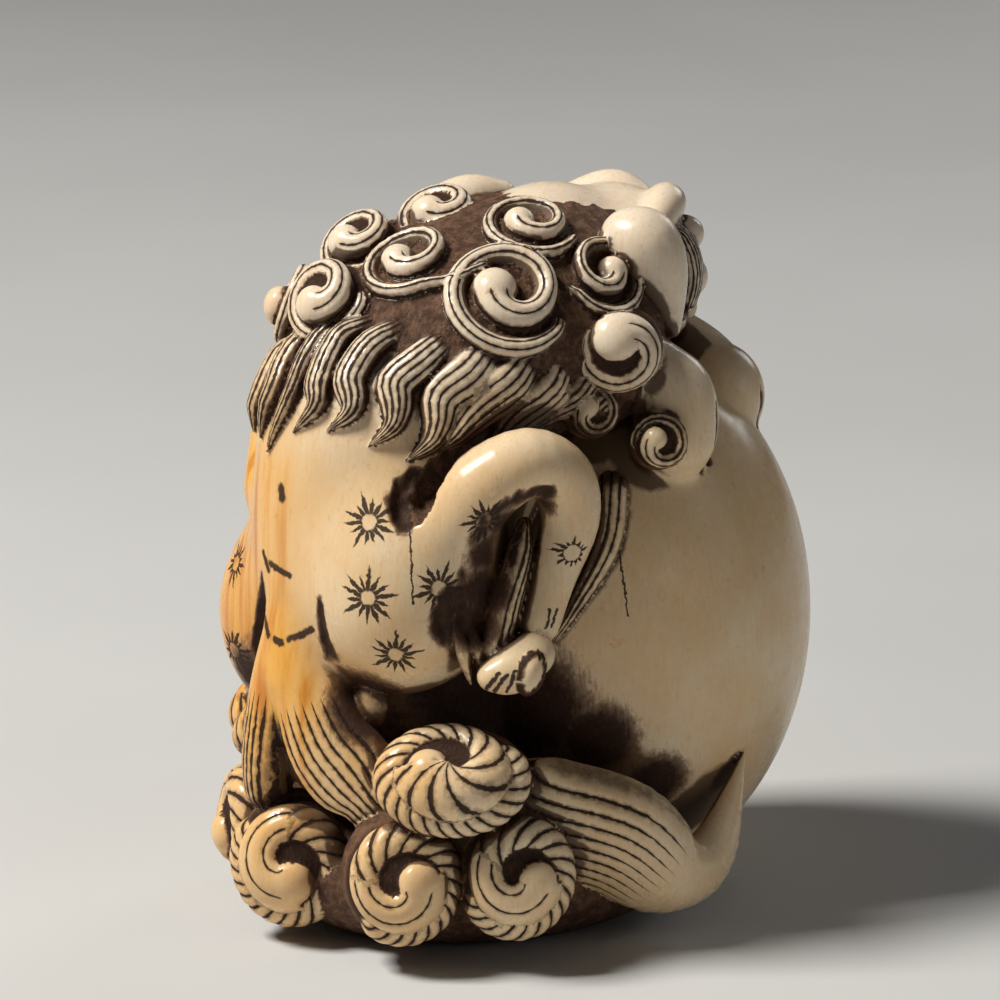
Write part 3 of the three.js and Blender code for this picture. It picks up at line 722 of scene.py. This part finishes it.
def add_legs(carving):
    for side in SIDES:
        add_tube(carving, side(LEG), 0.9, 24)
    add_groove(carving, LEG_HOLLOW, 0.9, 0.3, 14, 0.3)
    add_lock(carving, HEEL_HAIR, ball_skin, 4, thick=0.9, steps=14, lift=0.3)
    for side in SIDES:
        add_lock(carving, side(LEG_HAIR), body_skin, 5, thick=0.8, steps=14, settle=False, depth=1.2)
        for leaf in LEAVES:
            add_lock(carving, side(leaf), body_skin, 1, thick=0.4, steps=10, settle=False)
        add_tube(carving, side(FOOT), 0.15)
        add_egg(carving, form_on(side, PAD_RING), 0.1, dark=1)
        add_egg(carving, form_on(side, FOOT_PAD), 0.1)


def add_pits(carving):
    for slit in TAIL_SLITS:
        add_groove(carving, slit)
    add_groove(carving, PIT_EDGE, 0, 0.5, ground=0.8)
    add_groove(carving, PIT, 0.85)


def add_head(carving):
    where = carving.around([form["at"] for form in HEAD], 10.5)
    points = carving.points[where]
    carving.join(where, head_skin(points) + GROUND_RELIEF * roughness(points, 0.7, 3), 0.25, ground=1)
    for form, blend in ((CROWN, 0.2), (MUZZLE, 1.0), (NOSE, 0.4), (JAW, 0.4)):
        add_egg(carving, form, blend)


def add_face(carving):
    for side in SIDES:
        add_egg(carving, form_on(side, LIP), 0.4)
        add_tube(carving, side(BROW), 0.5)
        add_groove(carving, side(EYE_RING), 0.9, 0.2, 24)
        add_egg(carving, form_on(side, EYE), 0.1)
        add_groove(carving, side(PUPIL), 1.0, 0.1)
        add_groove(carving, side(NOSTRIL), 1.0, 0.2)
        add_lock(carving, side(CHEEK_HAIR), muzzle_skin, 7, thick=0.5, lift=0.1, rise=0.2, ground=0.35)
    add_groove(carving, MOUTH + mirrored(MOUTH)[-2::-1], 0.9, 0.4, 30)
    for side in SIDES:
        add_egg(carving, form_on(side, TOOTH), 0.1)


def add_ears(carving):
    for ear in (RIGHT_EAR, LEFT_EAR):
        add_tube(carving, ear, 0.2)


def add_fingers(carving, paw, facing):
    """Three lines down the front of a paw, spread round the way it faces in degrees from forward."""
    for apart in FINGER_SPREAD:
        turn = math.radians(facing + apart)
        line = []
        for drop, half in FINGER_LINE:
            fall = math.radians(drop)
            out = (math.cos(fall) * math.cos(turn), math.cos(fall) * math.sin(turn), math.sin(fall))
            line.append([at + radius * way for at, radius, way in zip(paw["at"], paw["radii"], out)] + [half])
        add_groove(carving, line, 0.9, 0.2)


def add_arms(carving):
    add_tube(carving, RIGHT_ARM, 0.3)
    add_egg(carving, RIGHT_PAW, 0.5)
    add_tube(carving, LEFT_ARM, 0.3)
    add_egg(carving, LEFT_PAW, 0.5)
    for fingers in (RIGHT_FINGERS, LEFT_FINGERS):
        add_fingers(carving, **fingers)


def add_mane(carving):
    for side in SIDES:
        # The locks in shade are partly brown ground colour: painted shade.
        for lock in SHADED_LOCKS[::-1]:
            add_lock(carving, side(lock), body_or_head, 5, thick=0.6, lift=0.2, rise=0.3, ground=0.45)
    for lock in BACK_LOCKS[::-1] + LEFT_LOCKS[::-1]:
        add_lock(carving, lock, body_or_head, 5, thick=0.8, lift=0.15, rise=0.25)
    for curl in with_twins(MANE_CURLS):
        add_curl(carving, curl, head_skin, MANE_BEND, turns=1.5, ridge=0.17, height=0.85)
    for curl in NAPE_CURLS:
        add_whorl(carving, curl, NAPE_DOME, turns=1.35, ridge=0.19, height=0.6)
    for curl in with_twins(CHEEK_CURLS):
        add_whorl(carving, curl, CHEEK_DOME, turns=0.95, ridge=0.24, height=0.55, knob=0.42)
    for curl in ARM_CURLS:
        add_whorl(carving, curl, ARM_CURL_DOME, turns=1.2, ridge=0.2, height=0.5)


def add_tail(carving):
    add_tube(carving, TAIL_ROOT, 0.5)
    add_egg(carving, TAIL_FLARE, 0.6, ground=1, dark=0.5)
    for lock in TAIL_LOCKS:
        add_lock(carving, lock["places"], body_skin, 8, thick=1.4, steps=16, settle=False, start=0.3,
                 blend=0.5, facing=lock["facing"])


def add_waves(carving):
    for curl in with_twins(WHORLS):
        add_whorl(carving, curl, WHORL_DOME, turns=1.45, ridge=0.23, height=0.6, rope=0.6, knob=0.27)
    for curl in RAISED_WHORLS:
        add_whorl(carving, curl, RAISED_DOME, turns=1.6, ridge=0.21, height=0.6, rope=1, knob=0.2)
    for side in SIDES:
        add_lock(carving, side(FLAME), ball_skin, 11, thick=2.4, steps=24, settle=False, fade=(0.15, 0.5),
                 roundness=0.8, depth=1.2)


# Patches of dirt and painted shade, darkening the colour on both sides.
def add_grime_and_painted_shade(carving):
    for side in SIDES:
        for place in side(GRIME_AND_PAINTED_SHADE):
            where = carving.around([place], place[3])
            gap = np.linalg.norm(carving.points[where] - np.array(place[:3], np.float32), axis=1)
            carving.darken(where, GRIME_AND_SHADE_DARKNESS * (1 - smooth_step(GRIME_AND_SHADE_CORE * place[3], place[3], gap)))


def add_cuts(carving):
    carving.cut(carving.everywhere, carving.points[:, 2].copy(), 0.3)
    samples = curve_through(CORD_TUNNEL, 20)
    where = carving.around(samples, 3)
    carving.cut(where, tube(carving.points[where], samples), 0.3)


def carve(points):
    """The whole carving at these points."""
    carving = Carving(points)
    add_ball_and_base(carving)
    for add_part in (add_body, add_legs, add_pits, add_head, add_face, add_ears, add_arms, add_mane,
                     add_tail, add_waves, add_grime_and_painted_shade):
        add_part(carving)
    add_egg(carving, LEG_STUB, 0.15, ground=0.4)
    add_cuts(carving)
    return carving


# ---- from distances to a mesh


def spread(steps, low, spacing):
    """Every place of a regular grid, as rows of x, y and z."""
    axes = [low[axis] + spacing * np.arange(steps[axis], dtype=np.float32) for axis in range(3)]
    return np.stack([side.ravel() for side in np.meshgrid(*axes, indexing="ij")], 1)


def finer(block):
    """A coarse block with each cell repeated, to the fine grid's spacing."""
    for axis in range(3):
        block = np.repeat(block, COARSE_CELLS, axis)
    return block


def distance_block(low, high):
    """Distances on a fine grid: worked out near the surface, and copied from a coarse grid elsewhere."""
    coarse = GRID * COARSE_CELLS
    cells = np.ceil((np.array(high) - low) / coarse).astype(int) + 1
    rough = carve(spread(cells, np.array(low) + coarse / 2 - GRID / 2, coarse)).distance
    near = (np.abs(rough) < coarse * 1.9).reshape(cells)
    block = finer(rough.reshape(cells))
    places = np.argwhere(finer(near))
    values = np.empty(len(places), np.float32)
    for first in range(0, len(places), POINTS_AT_ONCE):
        some = places[first:first + POINTS_AT_ONCE].astype(np.float32)
        values[first:first + POINTS_AT_ONCE] = carve(np.array(low, np.float32) + GRID * some).distance
    block[tuple(places.T)] = values
    return block


def middle_of_crossings(values, cells):
    """From each cell's first corner, the middle of the places where the surface crosses its edges."""
    total = np.zeros((len(cells), 3), np.float32)
    crossings = np.zeros(len(cells), np.float32)
    for first in CORNERS:
        for axis in np.nonzero(first == 0)[0]:
            second = first.copy()
            second[axis] = 1
            a = values[tuple((cells + first).T)]
            b = values[tuple((cells + second).T)]
            crossed = (a < 0) != (b < 0)
            share = np.where(crossed, a / np.where(crossed, a - b, 1), 0)
            total += crossed[:, None] * (first + share[:, None] * (second - first))
            crossings += crossed
    return total / crossings[:, None]


def net_faces(inside, number, axis):
    """A four-sided face round each grid edge along an axis that the surface crosses."""
    ahead = np.moveaxis(inside, axis, 0)
    edges = np.argwhere(np.moveaxis(ahead[1:] != ahead[:-1], 0, axis))
    one, two = [other for other in range(3) if other != axis]
    edges = edges[(edges[:, one] > 0) & (edges[:, two] > 0)]
    edges = edges[(edges[:, one] < inside.shape[one] - 1) & (edges[:, two] < inside.shape[two] - 1)]
    back_one = np.eye(3, dtype=int)[one]
    back_two = np.eye(3, dtype=int)[two]
    ring = [edges, edges - back_one, edges - back_one - back_two, edges - back_two]
    quad = np.stack([number[tuple(cell.T)] for cell in ring], 1)
    flipped = inside[tuple(edges.T)] == (axis == 1)
    quad[flipped] = quad[flipped][:, ::-1]
    return quad


def surface_net(values, low, spacing):
    """Points and four-sided faces on the zero level of a block of distances."""
    inside = values < 0
    count = sum(inside[i:i - 1 or None, j:j - 1 or None, k:k - 1 or None].astype(np.uint8)
                for i, j, k in CORNERS)
    active = (count > 0) & (count < len(CORNERS))
    cells = np.argwhere(active)
    number = np.full(active.shape, -1, np.int32)
    number[active] = np.arange(len(cells))
    points = np.array(low) + spacing * (cells + middle_of_crossings(values, cells))
    return points, np.vstack([net_faces(inside, number, axis) for axis in range(3)])


def mesh_from(name, points, faces):
    """A Blender mesh of equal-sided faces, made from arrays."""
    mesh = bpy.data.meshes.new(name)
    sides = faces.shape[1]
    mesh.vertices.add(len(points))
    mesh.vertices.foreach_set("co", points.astype(np.float32).ravel())
    mesh.loops.add(faces.size)
    mesh.loops.foreach_set("vertex_index", faces.astype(np.int32).ravel())
    mesh.polygons.add(len(faces))
    mesh.polygons.foreach_set("loop_start", np.arange(0, faces.size, sides, dtype=np.int32))
    mesh.update(calc_edges=True)
    mesh.validate()
    return mesh


def placed(name, data):
    """A new object in the scene."""
    thing = bpy.data.objects.new(name, data)
    bpy.context.scene.collection.objects.link(thing)
    return thing


def thinned(mesh, triangles):
    """The mesh with only so many triangles left, most of them where the surface bends."""
    carrier = placed("thinning", mesh)
    modifier = carrier.modifiers.new("thin", "DECIMATE")
    modifier.ratio = min(1.0, triangles / (2 * len(mesh.polygons)))
    modifier.use_collapse_triangulate = True
    evaluated = carrier.evaluated_get(bpy.context.evaluated_depsgraph_get())
    thin = bpy.data.meshes.new_from_object(evaluated)
    bpy.data.objects.remove(carrier)
    return thin


def largest_shell(points, faces):
    """Faces of the one connected surface that has most of them: loose crumbs are left out."""
    label = np.arange(len(points))
    while True:
        lowest = label[faces].min(axis=1)
        before = label.copy()
        for side in range(faces.shape[1]):
            np.minimum.at(label, faces[:, side], lowest)
        label = label[label]
        if np.array_equal(before, label):
            break
    kept = faces[label[faces[:, 0]] == np.bincount(label[faces[:, 0]]).argmax()]
    used = np.unique(kept)
    number = np.zeros(len(points), np.int64)
    number[used] = np.arange(len(used))
    return points[used], number[kept]


def openness(points, outward, reach):
    """How free the space is at a reach outside each point: 1 in the open and 0 in a crevice."""
    return np.clip(carve(points + reach * outward).distance / reach, 0, 1)


def keep_marks(mesh, points):
    """Stores on each point its marks, and how deep it lies in a crevice and in a wider hollow."""
    outward = slope_of(lambda places: carve(places).distance, points, 0.12)
    marks = dict(carve(points).marks)
    # How closed in each point is darkens its colour in the material: dirt and painted shade in crevices and
    # hollows.
    marks["crevice"] = 1 - openness(points, outward, CREVICE_REACH)
    marks["hollow"] = 1 - openness(points, outward, HOLLOW_REACH)
    for name, values in marks.items():
        layer = mesh.attributes.new(name, "FLOAT", "POINT")
        layer.data.foreach_set("value", values.astype(np.float32))


def carved_piece():
    """The whole carving as one piece, in metres in the frame."""
    margin = 6 * GRID
    low = [corner / MM - margin for corner in CAD_BOX[0]]
    high = [corner / MM + margin for corner in CAD_BOX[1]]
    low[0] -= SHIFT
    high[0] -= SHIFT
    block = distance_block(low, high)
    points, faces = largest_shell(*surface_net(block, low, GRID))
    mesh = thinned(mesh_from("shishi_fine", points, faces), TRIANGLES)
    points = np.empty(len(mesh.vertices) * 3, np.float32)
    mesh.vertices.foreach_get("co", points)
    points = points.reshape(-1, 3)
    keep_marks(mesh, points)
    points[:, 0] += SHIFT
    mesh.vertices.foreach_set("co", (points * MM).ravel())
    mesh.polygons.foreach_set("use_smooth", np.ones(len(mesh.polygons), bool))
    mesh.update()
    piece = placed("carving", mesh)
    mesh.materials.append(ivory())
    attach(piece, "root")
    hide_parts("shishi_and_ball")


# ---- materials


class Nodes:
    """A short way to write a material's nodes: every call adds one and gives its result."""

    def __init__(self, name):
        self.material = bpy.data.materials.new(name)
        self.material.use_nodes = True
        self.tree = self.material.node_tree
        self.shader = self.tree.nodes["Principled BSDF"]

    def add(self, kind, inputs=(), **settings):
        node = self.tree.nodes.new("ShaderNode" + kind)
        for name, value in settings.items():
            setattr(node, name, value)
        for socket, value in dict(inputs).items():
            self.set(node.inputs[socket], value)
        return node

    def set(self, socket, value):
        if isinstance(value, bpy.types.NodeSocket):
            self.tree.links.new(value, socket)
        else:
            socket.default_value = value

    def math(self, operation, *values, clamp=False):
        node = self.add("Math", enumerate(values), operation=operation, use_clamp=clamp)
        return node.outputs[0]

    def times(self, first, second, **settings):
        return self.math("MULTIPLY", first, second, **settings)

    def plus(self, first, second, **settings):
        return self.math("ADD", first, second, **settings)

    def minus(self, first, second, **settings):
        return self.math("SUBTRACT", first, second, **settings)

    def vector(self, operation, *values):
        node = self.add("VectorMath", enumerate(values), operation=operation)
        return node.outputs["Value" if operation in ("DOT_PRODUCT", "LENGTH", "DISTANCE") else "Vector"]

    def scaled(self, vector, factor):
        return self.add("VectorMath", {0: vector, "Scale": factor}, operation="SCALE").outputs["Vector"]

    def ramp(self, value, low, high, start=0, end=1):
        """value moved smoothly from start to end while it goes from low to high."""
        inputs = {"Value": value, "From Min": low, "From Max": high, "To Min": start, "To Max": end}
        return self.add("MapRange", inputs, interpolation_type="SMOOTHSTEP").outputs["Result"]

    def mix(self, share, first, second):
        inputs = {"Factor": share, 6: first, 7: second}
        return self.add("Mix", inputs, data_type="RGBA").outputs[2]

    def swap(self, share, first, second):
        """One of two places: the second where share is 1."""
        inputs = {"Factor": share, 4: first, 5: second}
        return self.add("Mix", inputs, data_type="VECTOR").outputs[1]

    def mark(self, name):
        return self.add("Attribute", attribute_name=name).outputs["Fac"]

    def noise(self, place, scale, detail=3, rough=0.55):
        inputs = {"Vector": place, "Scale": scale, "Detail": detail, "Roughness": rough}
        return self.add("TexNoise", inputs).outputs["Fac"]


def ink_of_stars(n, place):
    """Dark spikes round a light disc, drawn for whichever engraved star is the nearest."""
    middle, radius = STARS[0]
    gap = n.vector("DISTANCE", place, middle)
    for other, other_radius in STARS[1:]:
        other_gap = n.vector("DISTANCE", place, other)
        closer = n.math("LESS_THAN", other_gap, gap)
        gap = n.math("MINIMUM", other_gap, gap)
        middle = n.swap(closer, middle, other)
        radius = n.math("MULTIPLY_ADD", closer, n.minus(other_radius, radius), radius)
    out = n.vector("NORMALIZE", n.vector("MULTIPLY", n.vector("SUBTRACT", middle, BODY_MIDDLE), LEVELLED))
    right = n.vector("NORMALIZE", n.vector("CROSS_PRODUCT", (0, 0, 1), out))
    up = n.vector("CROSS_PRODUCT", out, right)
    local = n.vector("SUBTRACT", place, middle)
    x = n.vector("DOT_PRODUCT", local, right)
    y = n.vector("DOT_PRODUCT", local, up)
    reach = n.math("SQRT", n.plus(n.times(x, x), n.times(y, y)))
    angle = n.times(n.math("ARCTAN2", x, y), STAR_SPIKES / (2 * math.pi))
    angle = n.plus(angle, n.vector("DOT_PRODUCT", middle, (0.3, 0.7, 0)))
    uneven = n.math("SINE", n.times(n.math("ROUND", angle), 2.4))
    end = n.times(radius, n.math("MULTIPLY_ADD", uneven, 0.16, 0.82))
    along = n.math("DIVIDE", n.minus(reach, STAR_DISC), n.minus(end, STAR_DISC))
    side = n.math("ABSOLUTE", n.minus(angle, n.math("ROUND", angle)))
    width = n.times(n.minus(1, along), 0.52)
    spike = n.ramp(n.minus(width, side), -0.06, 0.06)
    spike = n.times(spike, n.ramp(along, -0.12, 0.02))
    return n.times(spike, n.math("LESS_THAN", gap, STAR_REACH))


def ink_of_stroke(n, place, start, end, half, facing):
    """A dash seen flat along the way that its surface faces."""
    facing = Vector(facing).normalized()
    start = Vector(start)
    step = Vector(end) - start
    step -= step.dot(facing) * facing
    offset = n.vector("SUBTRACT", place, start)
    depth = n.vector("DOT_PRODUCT", offset, facing)
    flat = n.vector("SUBTRACT", offset, n.scaled(tuple(facing), depth))
    share = n.math("DIVIDE", n.vector("DOT_PRODUCT", flat, step), step.length_squared, clamp=True)
    drawn = n.ramp(n.vector("DISTANCE", flat, n.scaled(tuple(step), share)), half * 1.5, half * 0.7)
    return n.times(drawn, n.math("LESS_THAN", n.math("ABSOLUTE", depth), STROKE_DEPTH))


def ink_of_marks(n, place):
    """How dark every engraved star and stroke is at a place on the surface."""
    waver = n.add("TexNoise", {"Vector": place, "Scale": 3, "Detail": 3}).outputs["Color"]
    wavering = n.vector("ADD", place, n.scaled(n.vector("SUBTRACT", waver, (0.5, 0.5, 0.5)), 0.35))
    total = ink_of_stars(n, wavering)
    for facing, strokes in STROKES.items():
        for stroke in strokes:
            total = n.math("MAXIMUM", total, ink_of_stroke(n, wavering, *stroke, facing))
    return total


def patina(n, place, upright, fine):
    """Cream, paler towards the top, with upright honey and amber streaks on the back and the tail."""
    parts = n.add("SeparateXYZ", {"Vector": place})
    x, y, z = (parts.outputs[axis] for axis in "XYZ")
    streaks = n.noise(upright, 0.8, 4)
    swell = n.noise(place, 0.16, 2)
    backness = n.ramp(n.minus(n.times(y, 0.55), x), 13.5, 18.5)
    lowness = n.times(n.ramp(x, -12, -16.5), n.ramp(z, 22, 14, 0, 0.55))
    height_share = n.times(n.ramp(z, 27, 31, 1, 0.3), n.ramp(z, 5, 16, 0.45, 1))
    honey = n.plus(backness, lowness)
    honey = n.times(honey, n.ramp(streaks, 0.3, 0.65, 0.65, 1), clamp=True)
    honey = n.times(honey, height_share)
    deep = n.times(n.times(honey, honey), n.ramp(streaks, 0.5, 0.7))
    freckles = n.ramp(n.noise(place, 0.55, 4, 0.7), 0.66, 0.74, 0, 0.45)
    base = n.mix(n.ramp(swell, 0.3, 0.7), CREAM, WHITE_CREAM)
    base = n.mix(n.ramp(z, 27, 37, 0, 0.75), base, PALE)
    base = n.mix(honey, base, HONEY)
    base = n.mix(deep, base, AMBER)
    base = n.mix(n.ramp(fine, 0.42, 0.8, 0, 0.35), base, HONEY)
    return n.mix(freckles, base, AMBER)


def soiling_and_shading(n, base, place, scratchy):
    """Dirt and painted shade in the hollows, brown ground, and grime with painted shade over a colour, and
    how much of each there is.
    """
    mottle = n.noise(place, 1.6, 4, 0.65)
    uneven = n.times(n.minus(mottle, 0.5), 0.6)
    # Wide hollows darken: dirt and painted shade.
    hollow_dirt_and_shade = n.ramp(n.plus(n.ramp(n.mark("hollow"), 0.25, 0.85), uneven), 0.25, 0.8)
    base = n.mix(n.times(hollow_dirt_and_shade, 0.85), base, DIRT_AND_SHADE)
    # Narrow crevices darken: dirt and painted shade.
    crevice = n.plus(n.mark("crevice"), n.times(uneven, 0.5))
    base = n.mix(n.ramp(crevice, 0.3, 0.75, 0, 0.92), base, DIRT_AND_SHADE)
    earth = n.mix(n.ramp(mottle, 0.35, 0.7), GROUND_BROWN, GROUND_MAUVE)
    earth = n.mix(n.ramp(scratchy, 0.46, 0.66, 0, 0.8), earth, DIRT_AND_SHADE)
    grounded = n.ramp(n.plus(n.mark("ground"), uneven), 0.3, 0.7)
    base = n.mix(grounded, base, earth)
    ragged = n.times(n.minus(scratchy, 0.5), 0.7)
    # The dark mark: dirt and stain, with the painted shade of the grime patches, painted brown to near black.
    soil_and_shade = n.plus(n.plus(n.mark("dark"), uneven), ragged)
    base = n.mix(n.ramp(soil_and_shade, 0.05, 0.5, 0, 0.85), base, TEA)
    soiled_and_shaded = n.ramp(soil_and_shade, 0.25, 0.9)
    base = n.mix(soiled_and_shaded, base, n.mix(n.ramp(scratchy, 0.45, 0.7), PITCH, DIRT_AND_SHADE))
    return base, grounded, hollow_dirt_and_shade, soiled_and_shaded


def closeness(n, away, width):
    """1 in the middle of an engraved line, falling to 0 at a width away."""
    return n.minus(1, n.math("DIVIDE", away, n.math("MAXIMUM", width, 0.001)), clamp=True)


def inking(n, base, place):
    """Engraved lines over a colour: dark where the phase is close to a whole number, softly edged."""
    phase = n.mark("phase")
    line = n.mark("line")
    away = n.math("ABSOLUTE", n.minus(phase, n.math("ROUND", phase)))
    width = n.times(line, n.ramp(n.noise(place, 2.2, 2), 0.3, 0.7, 0.6, 1.4))
    lined = n.ramp(line, 0.01, 0.05)
    engraved = n.times(n.ramp(closeness(n, away, width), 0, 0.5), lined)
    edge = n.times(closeness(n, away, n.times(width, 2.6)), lined)
    ink = n.math("MAXIMUM", engraved, ink_of_marks(n, place))
    base = n.mix(n.times(edge, 0.75), base, DIRT_AND_SHADE)
    base = n.mix(n.times(ink, 0.96), base, INK)
    return base, engraved, ink


def ivory():
    """Aged polished ivory: cream with a honey patina, brown ground, dirt and painted shade in the hollows,
    inked lines.
    """
    n = Nodes("aged_ivory")
    place = n.scaled(n.add("TexCoord").outputs["Object"], 1 / MM)
    place = n.vector("SUBTRACT", place, (SHIFT, 0, 0))
    upright = n.vector("MULTIPLY", place, (1, 1, 0.1))
    fine = n.noise(upright, 5, 3)
    scratchy = n.noise(n.vector("MULTIPLY", place, (3, 3, 1.2)), 1.6, 4, 0.75)
    base = patina(n, place, upright, fine)
    base, grounded, hollow_dirt_and_shade, soiled_and_shaded = soiling_and_shading(n, base, place, scratchy)
    base, engraved, ink = inking(n, base, place)
    n.set(n.shader.inputs["Base Color"], base)

    # Dirt, painted shade and ink are dull, and the polish varies.
    dull = n.math("MAXIMUM", grounded, n.times(hollow_dirt_and_shade, 0.6))
    dull = n.math("MAXIMUM", dull, n.times(n.math("MAXIMUM", soiled_and_shaded, ink), 1.3))
    gloss = n.ramp(n.noise(place, 0.9, 4), 0.3, 0.7, 0.18, 0.32)
    n.set(n.shader.inputs["Roughness"], n.plus(gloss, n.times(dull, 0.42), clamp=True))
    for name, value in POLISH.items():
        n.set(n.shader.inputs[name], value)

    # Relief too fine for the mesh.
    height = n.times(engraved, -0.09)
    rough = n.times(n.times(grounded, scratchy), 0.16)
    height = n.plus(n.plus(height, rough), n.times(fine, 0.006))
    bump = n.add("Bump", {"Height": height, "Strength": 1, "Distance": MM})
    n.set(n.shader.inputs["Normal"], bump.outputs["Normal"])
    return n.material


def paper():
    """The plain pale floor."""
    n = Nodes("pale_floor")
    place = n.add("TexCoord").outputs["Object"]
    shade = n.ramp(n.noise(place, 14, 3), 0.3, 0.7)
    n.set(n.shader.inputs["Base Color"], n.mix(shade, PAPER_GREY, PAPER_WHITE))
    n.set(n.shader.inputs["Roughness"], 0.75)
    return n.material


# ---- floor, light and camera

def view_axes():
    """Right, up and towards the camera, for the photograph's viewing angle."""
    towards = Vector((
        math.sin(CAMERA_AZIMUTH) * math.cos(CAMERA_ELEVATION),
        -math.cos(CAMERA_AZIMUTH) * math.cos(CAMERA_ELEVATION),
        math.sin(CAMERA_ELEVATION),
    ))
    right = Vector((math.cos(CAMERA_AZIMUTH), math.sin(CAMERA_AZIMUTH), 0))
    return right, towards.cross(right), towards


def aimed(thing, place, target):
    thing.location = place
    thing.rotation_euler = (target - place).to_track_quat("-Z", "Y").to_euler()


def add_camera():
    lens = bpy.data.cameras.new("camera")
    lens.sensor_width = SENSOR
    lens.lens = LENS
    lens.clip_start = 0.01
    camera = placed("camera", lens)
    aimed(camera, TARGET + CAMERA_DISTANCE * view_axes()[2], TARGET)
    bpy.context.scene.camera = camera


def add_light(name, offset, size, watts, tint):
    """A soft square light that points at the camera's target."""
    lamp = bpy.data.lights.new(name, "AREA")
    lamp.size = size
    lamp.energy = watts
    lamp.color = tint
    light = placed(name, lamp)
    right, up, towards = view_axes()
    aimed(light, TARGET + offset[0] * right + offset[1] * up + offset[2] * towards, TARGET)


def add_lights():
    for name, light in LIGHTS.items():
        add_light(name, **light)
    world = bpy.data.worlds.new("studio")
    world.use_nodes = True
    background = world.node_tree.nodes["Background"]
    background.inputs["Color"].default_value = SKY
    background.inputs["Strength"].default_value = SKY_STRENGTH
    bpy.context.scene.world = world
    bpy.context.scene.view_settings.view_transform = "Standard"


def add_floor():
    """A plain flat floor, wide enough to fill the view."""
    mesh = bpy.data.meshes.new("floor")
    corners = [(x * FLOOR_HALF, y * FLOOR_HALF, 0) for x, y in ((-1, -1), (1, -1), (1, 1), (-1, 1))]
    mesh.from_pydata(corners, [], [(0, 1, 2, 3)])
    floor = placed("floor", mesh)
    floor.location.z = CAD_BOX[0][2]
    mesh.materials.append(paper())


add_camera()
add_lights()
add_floor()
carved_piece()
